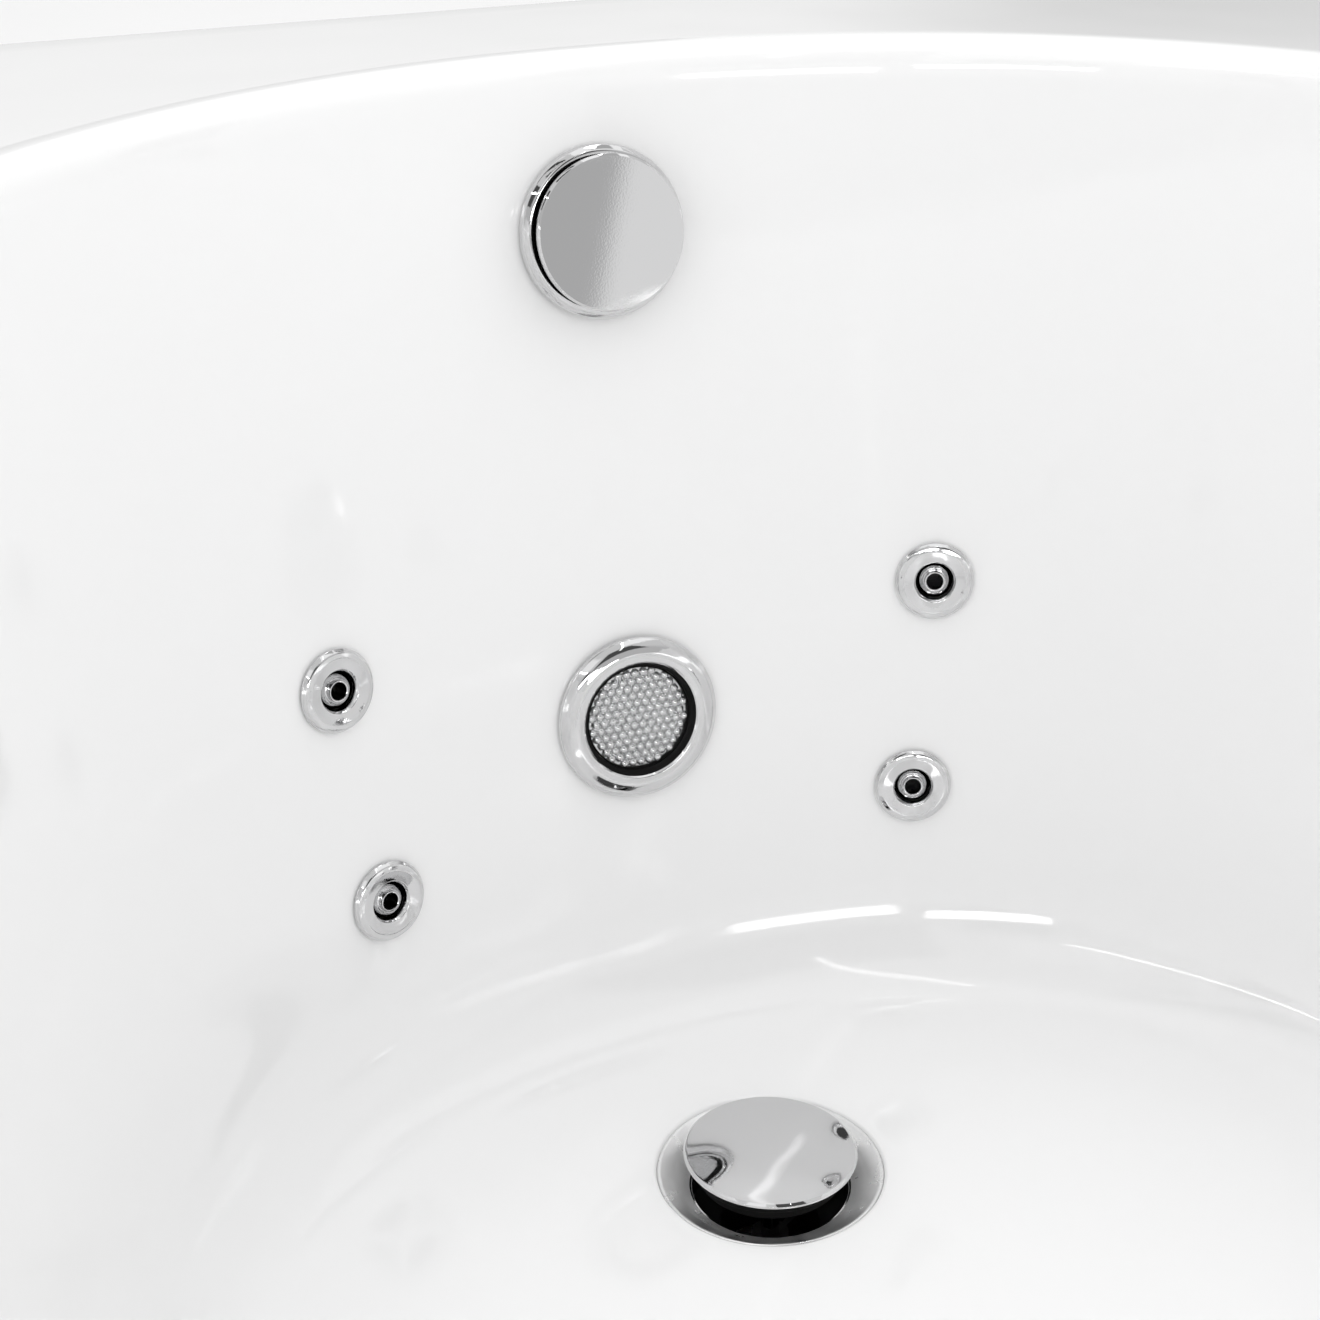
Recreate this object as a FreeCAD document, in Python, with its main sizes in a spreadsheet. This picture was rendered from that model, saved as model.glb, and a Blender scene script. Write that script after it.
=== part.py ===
import FreeCAD, Part
import Sketcher
import math
import os
from FreeCAD import Vector, Rotation, Placement

# Jetted bathtub, millimetres. Frame: origin at the bottom centre, +Z up, X along the tub with the
# waste and the foot wall at -X, and the front apron at -Y.

doc = FreeCAD.newDocument("jetted_bathtub")
sheet = doc.addObject("Spreadsheet::Sheet", "Dims")
DIMS = [
    ("TubLength", 1700.0, "overall length of the deck"),
    ("TubWidth", 850.0, "overall width of the deck"),
    ("TubHeight", 600.0, "deck above the floor"),
    ("ShellThick", 6.0, "acrylic with its reinforcement"),
    ("DeckCorner", 30.0, "corner radius of the deck"),
    ("LipDepth", 42.0, "down-turned lip"),
    ("LipEdge", 7.0, "rounding of the deck's outer edge"),
    ("FootRimX", 740.2, "foot wall line at deck height, from the centre"),
    ("FootSlope", 10.26, "foot wall from vertical, degrees"),
    ("HeadRimX", 737.0, "head wall line at deck height"),
    ("HeadFloorX", 533.0, "head wall line at the reference floor height"),
    ("RimHalfWidth", 372.0, "half width of the basin at deck height"),
    ("FloorHalfWidth", 297.0, "half width of the basin at the reference floor height"),
    ("FloorRefZ", 176.5, "reference floor height"),
    ("EndRadius", 381.0, "plan radius of both end walls at the centre line"),
    ("RimLeg", 17.0, "length of the rim rounding on each side"),
    ("FilletWallLeg", 86.0, "bottom rounding, up the wall"),
    ("FilletFloorLeg", 74.0, "bottom rounding, along the floor"),
    ("FloorTilt", 3.0, "fall of the floor to the waste, degrees"),
    ("DrainX", 535.5, "waste, from the centre"),
    ("DrainZ", 181.0, "floor surface at the waste"),
    ("PlugRadius", 36.4, "plug cap"),
    ("PlugTop", 9.7, "plug cap above the floor, raised"),
    ("PlugTravel", 12.5, "lift of the plug"),
    ("FlangeRadius", 47.5, "waste flange"),
    ("FlangeBore", 32.6, "throat of the waste flange"),
    ("WasteRadius", 20.0, "outside of the 40 mm waste pipe"),
    ("WasteWall", 2.0, "wall of the waste pipe"),
    ("OverflowZ", 529.3, "overflow centre height"),
    ("KnobRadius", 31.9, "overflow disc"),
    ("KnobTop", 16.6, "overflow disc above the wall"),
    ("OverflowRing", 35.9, "overflow ring"),
    ("LightZ", 318.1, "light centre height"),
    ("LightRadius", 37.6, "light bezel"),
    ("LensRadius", 21.4, "light lens"),
    ("JetRadius", 17.8, "jet escutcheon"),
    ("JetBallRadius", 9.0, "jet ball"),
    ("JetUpperY", 138.3, "upper foot jets off the centre line"),
    ("JetUpperZ", 368.4, "upper foot jets height"),
    ("JetLowerY", 126.3, "lower foot jets off the centre line"),
    ("JetLowerZ", 270.4, "lower foot jets height"),
    ("SideJetZ", 340.0, "side jets height"),
    ("SideJetXa", 200.0, "side jets towards the foot"),
    ("SideJetXb", 160.0, "side jets towards the head"),
    ("SuctionX", 340.0, "suction fitting towards the foot"),
    ("SuctionZ", 338.0, "suction fitting height"),
    ("SuctionRadius", 48.0, "suction cover"),
    ("RailY", 385.0, "frame rails off the centre line"),
    ("RailBottom", 60.0, "underside of the frame rails"),
    ("RailHeight", 40.0, "frame rail height"),
    ("RailWide", 25.0, "frame rail width"),
    ("RailWall", 2.0, "frame rail wall"),
    ("RailLength", 1600.0, "frame rail length"),
    ("FootX", 700.0, "levelling feet from the centre"),
    ("StudRadius", 6.0, "levelling stud"),
    ("PadRadius", 28.0, "levelling pad"),
    ("BoardThick", 18.0, "base board"),
    ("MainRadius", 16.0, "water main outside"),
    ("BranchRadius", 11.0, "branch pipe outside"),
    ("PipeWall", 2.0, "water pipe wall"),
    ("PumpX", 690.0, "pump axis along the tub"),
    ("PumpZ", 193.0, "pump axis height"),
    ("PumpY", 80.0, "joint of motor and volute, towards the front"),
    ("VoluteRadius", 80.0, "pump volute"),
    ("MotorRadius", 60.0, "motor casing"),
    ("ShaftRadius", 7.0, "pump shaft"),
    ("ApronThick", 5.0, "front apron"),
    ("ApronFace", 418.5, "front apron face, towards the front"),
    ("AirX", 690.0, "air control along the tub"),
    ("AirY", 320.0, "air control towards the front"),
    ("ButtonX", 600.0, "on/off button along the tub"),
    ("ButtonY", 345.0, "on/off button towards the front"),
]
for row, (alias, value, note) in enumerate(DIMS, start=1):
    sheet.set("A%d" % row, note)
    sheet.set("B%d" % row, "%.6g" % value)
    sheet.setAlias("B%d" % row, alias)
doc.recompute()


class Q:
    """A length made of sheet cells: its value and its formula together."""

    def __init__(self, v, t):
        self.v = float(v)
        self.t = t

    def __add__(self, o):
        o = q(o)
        return Q(self.v + o.v, "(%s + %s)" % (self.t, o.t))

    __radd__ = __add__

    def __sub__(self, o):
        o = q(o)
        return Q(self.v - o.v, "(%s - %s)" % (self.t, o.t))

    def __rsub__(self, o):
        return q(o) - self

    def __mul__(self, o):
        o = q(o)
        return Q(self.v * o.v, "(%s * %s)" % (self.t, o.t))

    __rmul__ = __mul__

    def __neg__(self):
        return Q(-self.v, "(0 - %s)" % self.t)


def q(x):
    if isinstance(x, Q):
        return x
    return Q(x, "%.6g" % x if x >= 0 else "(0 - %.6g)" % -x)


def cell(alias):
    return Q(float(sheet.get(alias)), "Dims.%s" % alias)


def val(alias):
    return float(sheet.get(alias))


NODES = []


def keep(obj, name):
    obj.Label = name
    NODES.append((name, obj))
    return obj


# ---------------------------------------------------------------- sketches and bodies
def origin_plane(body, role):
    for o in body.Origin.OriginFeatures:
        if o.Role == role:
            return o
    raise ValueError(role)


def loops_sketch(body, name, role, loops, circles=()):
    """Closed outlines whose corners are bound to the sheet, and circles (x, y, radius)."""
    sk = body.newObject("Sketcher::SketchObject", name)
    sk.AttachmentSupport = (origin_plane(body, role), [""])
    sk.MapMode = "FlatFace"
    for loop in loops:
        pts = [(q(x), q(y)) for x, y in loop]
        n = len(pts)
        base = sk.GeometryCount
        for i in range(n):
            a, b = pts[i], pts[(i + 1) % n]
            sk.addGeometry(Part.LineSegment(Vector(a[0].v, a[1].v, 0), Vector(b[0].v, b[1].v, 0)), False)
        for i in range(n):
            sk.addConstraint(Sketcher.Constraint("Coincident", base + i, 2, base + (i + 1) % n, 1))
        for i in range(n):
            for k, kind, axis in ((0, "DistanceX", -2), (1, "DistanceY", -1)):
                e = pts[i][k]
                if abs(e.v) < 1e-9:
                    sk.addConstraint(Sketcher.Constraint("PointOnObject", base + i, 1, axis))
                else:
                    j = sk.addConstraint(Sketcher.Constraint(kind, -1, 1, base + i, 1, e.v))
                    if "Dims" in e.t:
                        sk.setExpression("Constraints[%d]" % j, e.t)
    for x, y, r in circles:
        x, y, r = q(x), q(y), q(r)
        g = sk.addGeometry(Part.Circle(Vector(x.v, y.v, 0), Vector(0, 0, 1), r.v), False)
        j = sk.addConstraint(Sketcher.Constraint("Radius", g, r.v))
        if "Dims" in r.t:
            sk.setExpression("Constraints[%d]" % j, r.t)
        for e, kind, axis in ((x, "DistanceX", -2), (y, "DistanceY", -1)):
            if abs(e.v) < 1e-9:
                sk.addConstraint(Sketcher.Constraint("PointOnObject", g, 3, axis))
            else:
                j = sk.addConstraint(Sketcher.Constraint(kind, -1, 1, g, 3, e.v))
                if "Dims" in e.t:
                    sk.setExpression("Constraints[%d]" % j, e.t)
    return sk


def new_body(name):
    return doc.addObject("PartDesign::Body", name)


def turned(name, pts, place=None, label=True):
    """A turned piece: the outline (radius, height) revolved about the body's Z."""
    body = new_body(name)
    sk = loops_sketch(body, name + "_outline", "XZ_Plane", [pts])
    rev = body.newObject("PartDesign::Revolution", name + "_turn")
    rev.Profile = sk
    rev.ReferenceAxis = (sk, ["V_Axis"])
    rev.Angle = 360
    sk.Visibility = False
    body.Tip = rev
    if place is not None:
        body.Placement = place
    return keep(body, name) if label else body


def prism(name, role, loops, length, circles=(), place=None, label=True):
    """A straight piece: outlines on an origin plane, padded along the plane's normal."""
    body = new_body(name)
    sk = loops_sketch(body, name + "_section", role, loops, circles)
    pad = body.newObject("PartDesign::Pad", name + "_pad")
    pad.Profile = sk
    length = q(length)
    pad.Length = length.v
    if "Dims" in length.t:
        pad.setExpression("Length", length.t)
    sk.Visibility = False
    body.Tip = pad
    if place is not None:
        body.Placement = place
    return keep(body, name) if label else body


def rect(x0, y0, x1, y1):
    return [(x0, y0), (x1, y0), (x1, y1), (x0, y1)]


def cyl(name, r, h, place):
    """A plain cylinder used in a boolean; it grows along the placement's Z."""
    o = doc.addObject("Part::Cylinder", name)
    for prop, e in (("Radius", q(r)), ("Height", q(h))):
        setattr(o, prop, e.v)
        if "Dims" in e.t:
            o.setExpression(prop, e.t)
    o.Placement = place
    return o


def box(name, lx, ly, lz, place):
    o = doc.addObject("Part::Box", name)
    for prop, e in (("Length", q(lx)), ("Width", q(ly)), ("Height", q(lz))):
        setattr(o, prop, e.v)
        if "Dims" in e.t:
            o.setExpression(prop, e.t)
    o.Placement = place
    return o


def fuse(name, parts):
    o = doc.addObject("Part::MultiFuse", name)
    o.Shapes = parts
    o.Refine = True
    return o


def cut(name, base, tool):
    o = doc.addObject("Part::Cut", name)
    o.Base = base
    o.Tool = tool
    return o


def group(name, base, places):
    """Identical separate pieces: linked copies of one body."""
    links = []
    for i, p in enumerate(places):
        l = doc.addObject("App::Link", "%s_%d" % (name, i + 1))
        l.LinkedObject = base
        l.LinkPlacement = p
        links.append(l)
    o = doc.addObject("Part::Compound", name)
    o.Links = links
    return keep(o, name)


def at(x, y, z, rot=None):
    return Placement(Vector(x, y, z), rot or Rotation())


def frame_on(p, n, up=Vector(0, 0, 1)):
    """Placement with Z along n, X level and Y as far up as it goes."""
    n = Vector(n).normalize()
    x = up.cross(n).normalize()
    y = n.cross(x)
    return Placement(p, Rotation(x, y, n, "ZXY"))


def along(p, d):
    """Placement whose Z runs along d."""
    return Placement(p, Rotation(Vector(0, 0, 1), d))


# ---------------------------------------------------------------- pipes
def route(pts, radius):
    """Straight runs joined by tangent arcs."""
    pts = [Vector(*p) for p in pts]
    edges = []
    start = pts[0]
    for i in range(1, len(pts) - 1):
        a, b, c = pts[i - 1], pts[i], pts[i + 1]
        u = (a - b).normalize()
        w = (c - b).normalize()
        ang = u.getAngle(w)
        turn = math.pi - ang
        room = min((a - b).Length, (c - b).Length) * 0.48
        r = min(radius, room / math.tan(turn / 2))
        t = r * math.tan(turn / 2)
        p0 = b + u * t
        p2 = b + w * t
        bis = (u + w).normalize()
        mid = b + bis * (r / math.cos(turn / 2) - r)
        if (p0 - start).Length > 1e-6:
            edges.append(Part.LineSegment(start, p0).toShape())
        edges.append(Part.Arc(p0, mid, p2).toShape())
        start = p2
    edges.append(Part.LineSegment(start, pts[-1]).toShape())
    return Part.Wire(edges), (pts[1] - pts[0]).normalize(), pts[0]


def swept(pts, radius, r):
    wire, d, p = route(pts, radius)
    prof = Part.Wire([Part.Circle(p, d, r).toShape()])
    return wire.makePipeShell([prof], True, False)


def pipe_shape(pts, radius, ro, wall):
    s = swept(pts, radius, ro)
    if wall > 0:
        s = s.cut(swept(pts, radius, ro - wall))
    return s


def pipe(name, pts, radius, ro, wall=0.0, label=True):
    o = doc.addObject("Part::Feature", name)
    o.Shape = pipe_shape(pts, radius, ro, wall)
    return keep(o, name) if label else o


# ---------------------------------------------------------------- basin surface
zdeck = val("TubHeight")
zref = val("FloorRefZ")
slope = math.tan(math.radians(val("FootSlope")))
tilt = math.radians(val("FloorTilt"))
drain_x = -val("DrainX")
drain_z = val("DrainZ")
thick = val("ShellThick")


def plan(z):
    """Plan of the basin at a height: half length, half width, centre and exponent of the curve
    |x/a|^p + (y/b)^2 = 1, whose ends have the plan radius EndRadius."""
    k = (zdeck - z) / (zdeck - zref)
    xf = -val("FootRimX") + slope * (zdeck - z)
    xh = val("HeadRimX") + (val("HeadFloorX") - val("HeadRimX")) * k
    b = val("RimHalfWidth") + (val("FloorHalfWidth") - val("RimHalfWidth")) * k
    a = (xh - xf) / 2
    return a, b, (xh + xf) / 2, 2 * a * val("EndRadius") / b ** 2


def foot_x(y, z):
    a, b, xc, p = plan(z)
    return xc - a * (1 - (y / b) ** 2) ** (1 / p)


def foot_point(y, z):
    return Vector(foot_x(y, z), y, z)


def foot_normal(y, z):
    e = 0.05
    gy = (foot_x(y + e, z) - foot_x(y - e, z)) / (2 * e)
    gz = (foot_x(y, z + e) - foot_x(y, z - e)) / (2 * e)
    return Vector(1, -gy, -gz).normalize()


def side_y(x, z):
    a, b, xc, p = plan(z)
    return b * math.sqrt(1 - abs((x - xc) / a) ** p)


def side_point(x, z, s):
    return Vector(x, s * side_y(x, z), z)


def side_normal(x, z, s):
    e = 0.05
    gx = (side_y(x + e, z) - side_y(x - e, z)) / (2 * e)
    gz = (side_y(x, z + e) - side_y(x, z - e)) / (2 * e)
    return Vector(gx, -s, gz).normalize()


def floor_z(x):
    return drain_z + math.tan(tilt) * (x - drain_x)


HALF = 56          # columns along half the basin
LEVELS = 24


def section(z):
    """Half the plan at a height, from the foot to the head, in equal steps of arc length."""
    a, b, xc, p = plan(z)
    raw = []
    m = 360
    for i in range(m + 1):
        th = math.pi * i / m
        cx, sy = -math.cos(th), math.sin(th)
        lo, hi = 0.0, 2.0 * max(a, b)
        for _ in range(44):
            r = (lo + hi) / 2
            if abs(r * cx / a) ** p + (r * sy / b) ** 2 < 1:
                lo = r
            else:
                hi = r
        raw.append((xc + r * cx, r * sy))
    cum = [0.0]
    for i in range(m):
        cum.append(cum[-1] + math.hypot(raw[i + 1][0] - raw[i][0], raw[i + 1][1] - raw[i][1]))
    out = []
    j = 0
    for k in range(HALF + 1):
        s = cum[-1] * k / HALF
        while j < m - 1 and cum[j + 1] < s:
            j += 1
        # local parabola through three samples keeps the curve smooth
        i0 = min(max(j - 1, 0), m - 3)
        xs = cum[i0:i0 + 4]
        pt = []
        for c in (0, 1):
            acc = 0.0
            for u in range(4):
                w = raw[i0 + u][c]
                for v in range(4):
                    if v != u:
                        w *= (s - xs[v]) / (xs[u] - xs[v])
                acc += w
            pt.append(acc)
        out.append(pt)
    out[0][1] = 0.0
    out[-1][1] = 0.0
    return out


zs = [150.0 + (zdeck + 10.0 - 150.0) * i / LEVELS for i in range(LEVELS + 1)]
sections = [section(z) for z in zs]


def column(k, z):
    """Wall point of column k at a height, and its derivative with height."""
    step = zs[1] - zs[0]
    i0 = min(max(int((z - zs[0]) / step) - 1, 0), LEVELS - 3)
    p = [0.0, 0.0]
    d = [0.0, 0.0]
    e = 0.5
    for c in (0, 1):
        for zz, out, sgn in ((z, p, 1.0), (z + e, d, 0.5 / e), (z - e, d, -0.5 / e)):
            acc = 0.0
            for u in range(4):
                w = sections[i0 + u][k][c]
                for v in range(4):
                    if v != u:
                        w *= (zz - zs[i0 + v]) / (zs[i0 + u] - zs[i0 + v])
                acc += w
            out[c] += acc * sgn
    return Vector(p[0], p[1], z), Vector(d[0], d[1], 1.0)


def bezier(cp, t):
    """Point and derivative of a Bezier curve."""
    n = len(cp) - 1
    p = Vector()
    d = Vector()
    for i in range(n + 1):
        p += cp[i] * (math.comb(n, i) * t ** i * (1 - t) ** (n - i))
    for i in range(n):
        d += (cp[i + 1] - cp[i]) * (n * math.comb(n - 1, i) * t ** i * (1 - t) ** (n - 1 - i))
    return p, d


nfloor = Vector(-math.sin(tilt), 0, math.cos(tilt))
corner = []
for k in range(HALF + 1):
    z = floor_z(0)
    for _ in range(40):
        p, d = column(k, z)
        z = floor_z(p.x)
    corner.append(column(k, z)[0])


def tangent(rows, k):
    """Direction along the basin at column k; the halves mirror in the centre plane."""
    def get(i):
        if i < 0:
            return Vector(rows[-i].x, -rows[-i].y, rows[-i].z)
        if i > HALF:
            r = rows[2 * HALF - i]
            return Vector(r.x, -r.y, r.z)
        return rows[i]
    t = (get(k + 1) - get(k - 1)) * 8 - (get(k + 2) - get(k - 2))
    return t.normalize()


rim_leg = val("RimLeg")
wall_leg = val("FilletWallLeg")
floor_leg = val("FilletFloorLeg")
RIM_T = [0.0, 0.2, 0.4, 0.6, 0.8, 1.0]
WALL_T = [i / 7 for i in range(1, 7)]
FIL_T = [i / 10 for i in range(0, 11)]
top_row = [column(k, zdeck)[0] for k in range(HALF + 1)]
cols = []
for k in range(HALF + 1):
    pt, dt = column(k, zdeck)
    tt = tangent(top_row, k)
    out = tt.cross(Vector(0, 0, 1)) * -1.0
    out.z = 0
    out.normalize()
    if out.dot(Vector(pt.x, pt.y, 0)) < 0:
        out = out * -1.0
    if k in (0, HALF):
        out = Vector(-1.0 if k == 0 else 1.0, 0, 0)
    up = Vector(dt).normalize()
    zr = zdeck - rim_leg * up.z
    pr, dr = column(k, zr)
    ur = Vector(dr).normalize()
    rim = [pt + out * rim_leg, pt + out * (0.62 * rim_leg), pt + out * (0.24 * rim_leg),
           pr + ur * (0.76 * rim_leg), pr + ur * (0.38 * rim_leg), pr]
    pb = corner[k]
    tb = tangent(corner, k)
    m = nfloor.cross(tb).normalize()
    if m.dot(Vector(-pb.x, -pb.y, 0)) < 0:
        m = m * -1.0
    if k in (0, HALF):
        m = Vector(math.cos(tilt), 0, math.sin(tilt)) * (1.0 if k == 0 else -1.0)
    ub = Vector(column(k, pb.z)[1]).normalize()
    zw = pb.z + wall_leg * ub.z
    pw, dw = column(k, zw)
    uw = Vector(dw).normalize()
    fil = [pw, pw - uw * (0.38 * wall_leg), pw - uw * (0.76 * wall_leg),
           pb + m * (0.24 * floor_leg), pb + m * (0.62 * floor_leg), pb + m * floor_leg]
    line = []
    for t in RIM_T:
        line.append(bezier(rim, t))
    for t in WALL_T:
        z = zr + (zw - zr) * t
        p, d = column(k, z)
        line.append((p, d * -1.0))
    for t in FIL_T:
        line.append(bezier(fil, t))
    cols.append(line)
ROWS = len(cols[0])

inner = []          # rows of points around the basin
outer = []
for r in range(ROWS):
    row = [cols[k][r][0] for k in range(HALF + 1)]
    ins, outs = [], []
    for k in range(HALF + 1):
        n = tangent(row, k).cross(cols[k][r][1])
        n.normalize()
        if n.dot(Vector(row[k].x, row[k].y, -400)) < 0:
            n = n * -1.0
        if r == 0:
            n = Vector(0, 0, -1)
        if r == ROWS - 1:
            n = nfloor * -1.0
        if k in (0, HALF):
            n.y = 0
            n.normalize()
        ins.append(row[k])
        outs.append(row[k] + n * thick)
    mir = lambda v: Vector(v.x, -v.y, v.z)
    turn = HALF // 4
    for dest, half in ((inner, ins), (outer, outs)):
        ring = half + [mir(half[i]) for i in range(HALF - 1, 0, -1)]
        dest.append(ring[turn:] + ring[:turn])      # the four faces join between the fittings

# run lengths down the foot column set the spacing of the rows
vpar = [0.0]
for r in range(1, ROWS):
    s = 0.0
    for k in (0, HALF // 2, HALF):
        s += (cols[k][r][0] - cols[k][r - 1][0]).Length / 3
    vpar.append(vpar[-1] + s)
vpar = [v / vpar[-1] for v in vpar]
AROUND = len(inner[0])
upar = [i / AROUND for i in range(AROUND + 1)]


def smooth_surface(rows):
    """Smooth surface through rows of points, closed around the basin."""
    poles = []
    for row in rows:
        c = Part.BSplineCurve()
        c.interpolate(Points=row, PeriodicFlag=True, Parameters=upar)
        poles.append(c.getPoles())
        uk, um, ud = c.getKnots(), c.getMultiplicities(), c.Degree
    net = []
    for i in range(len(poles[0])):
        c = Part.BSplineCurve()
        c.interpolate(Points=[poles[r][i] for r in range(len(rows))], PeriodicFlag=False, Parameters=vpar)
        net.append(c.getPoles())
        vk, vm, vd = c.getKnots(), c.getMultiplicities(), c.Degree
    s = Part.BSplineSurface()
    s.buildFromPolesMultsKnots(net, um, vm, uk, vk, True, False, ud, vd)
    v0, v1 = vk[0], vk[-1]
    return [s.toShape(i / 4, (i + 1) / 4, v0, v1) for i in range(4)]


def end_wire(faces, point, normal):
    """The edges of the faces that lie in a plane, as one closed wire."""
    found = []
    for f in faces:
        for e in f.Edges:
            a, b = e.ParameterRange
            if all(abs((e.valueAt(a + (b - a) * i / 6) - point).dot(normal)) < 1e-3 for i in range(7)):
                found.append(e)
    return Part.Wire(Part.__sortEdges__(found))


def rounded_rect(lx, ly, r, z):
    x, y = lx / 2, ly / 2
    k = r * (1 - math.sqrt(0.5))
    e = []
    pts = [(x - r, -y), (x, -y + r), (x, y - r), (x - r, y), (-x + r, y), (-x, y - r), (-x, -y + r), (-x + r, -y)]
    mids = [(x - k, -y + k), (x - k, y - k), (-x + k, y - k), (-x + k, -y + k)]
    P = lambda p: Vector(p[0], p[1], z)
    for i in range(4):
        a, b, c = pts[2 * i], pts[2 * i + 1], pts[(2 * i + 2) % 8]
        e.append(Part.Arc(P(a), P(mids[i]), P(b)).toShape())
        e.append(Part.LineSegment(P(b), P(c)).toShape())
    return Part.Wire(e)


def faced(wires):
    return Part.makeFace(wires, "Part::FaceMakerBullseye")


wall_in = smooth_surface(inner)
wall_out = smooth_surface(outer)
rect_top = rounded_rect(val("TubLength"), val("TubWidth"), val("DeckCorner"), zdeck)
rect_low = rounded_rect(val("TubLength"), val("TubWidth"), val("DeckCorner"), zdeck - thick)
sides = rect_low.extrude(Vector(0, 0, thick))
UP = Vector(0, 0, 1)
p_floor = Vector(drain_x, 0, drain_z)
faces = wall_in + wall_out
faces += faced([rect_top, end_wire(wall_in, Vector(0, 0, zdeck), UP)]).Faces
faces += faced([rect_low, end_wire(wall_out, Vector(0, 0, zdeck - thick), UP)]).Faces
faces += faced([end_wire(wall_in, p_floor, nfloor)]).Faces
faces += faced([end_wire(wall_out, p_floor - nfloor * thick, nfloor)]).Faces
faces += sides.Faces
sewn = Part.makeCompound(faces)
sewn.sewShape(0.01)
skin_shell = sewn.Shells[0] if sewn.Shells else Part.Shell(faces)
skin_solid = Part.Solid(skin_shell)
if skin_solid.Volume < 0:
    skin_solid.reverse()
skin = doc.addObject("Part::Feature", "basin_skin")
skin.Shape = skin_solid

# down-turned lip around the deck
def lip_shape():
    outer_w = rounded_rect(val("TubLength"), val("TubWidth"), val("DeckCorner"), zdeck - val("LipDepth"))
    inner_w = rounded_rect(val("TubLength") - 2 * thick, val("TubWidth") - 2 * thick, val("DeckCorner") - thick,
                           zdeck - val("LipDepth"))
    return faced([outer_w, inner_w]).extrude(Vector(0, 0, val("LipDepth") - thick))


lip = doc.addObject("Part::Feature", "deck_lip")
lip.Shape = lip_shape()

# placements of the fittings
P_DRAIN = Placement(Vector(drain_x, 0, drain_z), Rotation(Vector(0, 1, 0), -math.degrees(tilt)))
# the overflow sits leaned back by two degrees on its seal
n_wall = foot_normal(0, val("OverflowZ"))
lean = math.radians(2.0)
P_OVER = frame_on(foot_point(0, val("OverflowZ")), Vector(n_wall.x * math.cos(lean) - n_wall.z * math.sin(lean), 0,
                                                          n_wall.z * math.cos(lean) + n_wall.x * math.sin(lean)))
P_LIGHT = frame_on(foot_point(0, val("LightZ")), foot_normal(0, val("LightZ")))
JETS = []
for y, z in ((-val("JetUpperY"), val("JetUpperZ")), (val("JetUpperY"), val("JetUpperZ")),
             (-val("JetLowerY"), val("JetLowerZ")), (val("JetLowerY"), val("JetLowerZ"))):
    JETS.append(frame_on(foot_point(y, z), foot_normal(y, z)))
for s in (-1, 1):
    for x in (-val("SideJetXa"), val("SideJetXb")):
        JETS.append(frame_on(side_point(x, val("SideJetZ"), s), side_normal(x, val("SideJetZ"), s)))
P_SUCT = frame_on(side_point(-val("SuctionX"), val("SuctionZ"), 1), side_normal(-val("SuctionX"), val("SuctionZ"), 1))
P_AIR = at(val("AirX"), -val("AirY"), zdeck)
P_BUTTON = at(val("ButtonX"), -val("ButtonY"), zdeck)

# boss under the waste, then the holes
boss = cyl("drain_boss", 56.0, 12.0, P_DRAIN * at(0, 0, -16.5))
body0 = fuse("shell_body", [skin, lip, boss])
tools = []
dish = turned("drain_dish", [(0, 3.0), (52.0, 3.0), (52.0, 0.6), (48.0, 0.6), (48.0, -2.4), (46.0, -3.1), (36.0, -10.2), (36.0, -30.0),
                             (0, -30.0)], P_DRAIN, label=False)
tools.append(dish)
tools.append(cyl("hole_overflow", 29.5, 40.0, P_OVER * at(0, 0, -20)))
tools.append(cyl("hole_light", 24.6, 40.0, P_LIGHT * at(0, 0, -20)))
for i, p in enumerate(JETS):
    tools.append(cyl("hole_jet_%d" % (i + 1), 12.0, 40.0, p * at(0, 0, -20)))
tools.append(cyl("hole_suction", 30.5, 40.0, P_SUCT * at(0, 0, -20)))
tools.append(cyl("hole_air", 16.5, 40.0, P_AIR * at(0, 0, -20)))
tools.append(cyl("hole_button", 14.5, 40.0, P_BUTTON * at(0, 0, -20)))
tool_set = doc.addObject("Part::Compound", "shell_holes")
tool_set.Links = tools
shell_cut = cut("shell_cut", body0, tool_set)
doc.recompute()
edges = []
for i, e in enumerate(shell_cut.Shape.Edges):
    b = e.BoundBox
    if abs(b.ZMin - zdeck) < 1e-3 and abs(b.ZMax - zdeck) < 1e-3:
        c = e.CenterOfMass
        if abs(c.x) > val("TubLength") / 2 - 15 or abs(c.y) > val("TubWidth") / 2 - 15:
            edges.append(i + 1)
tub = doc.addObject("Part::Fillet", "tub_shell")
tub.Base = shell_cut
tub.Edges = [(i, val("LipEdge") - 1.5, val("LipEdge") - 1.5) for i in edges]
doc.recompute()
keep(tub, "tub_shell")


SEALS = []
NUTS = []


def fitted(name, ring):
    """A soft seal that takes up the curve of the wall: the ring less the shell."""
    o = cut(name, ring, tub)
    SEALS.append(o)
    return o


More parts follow.
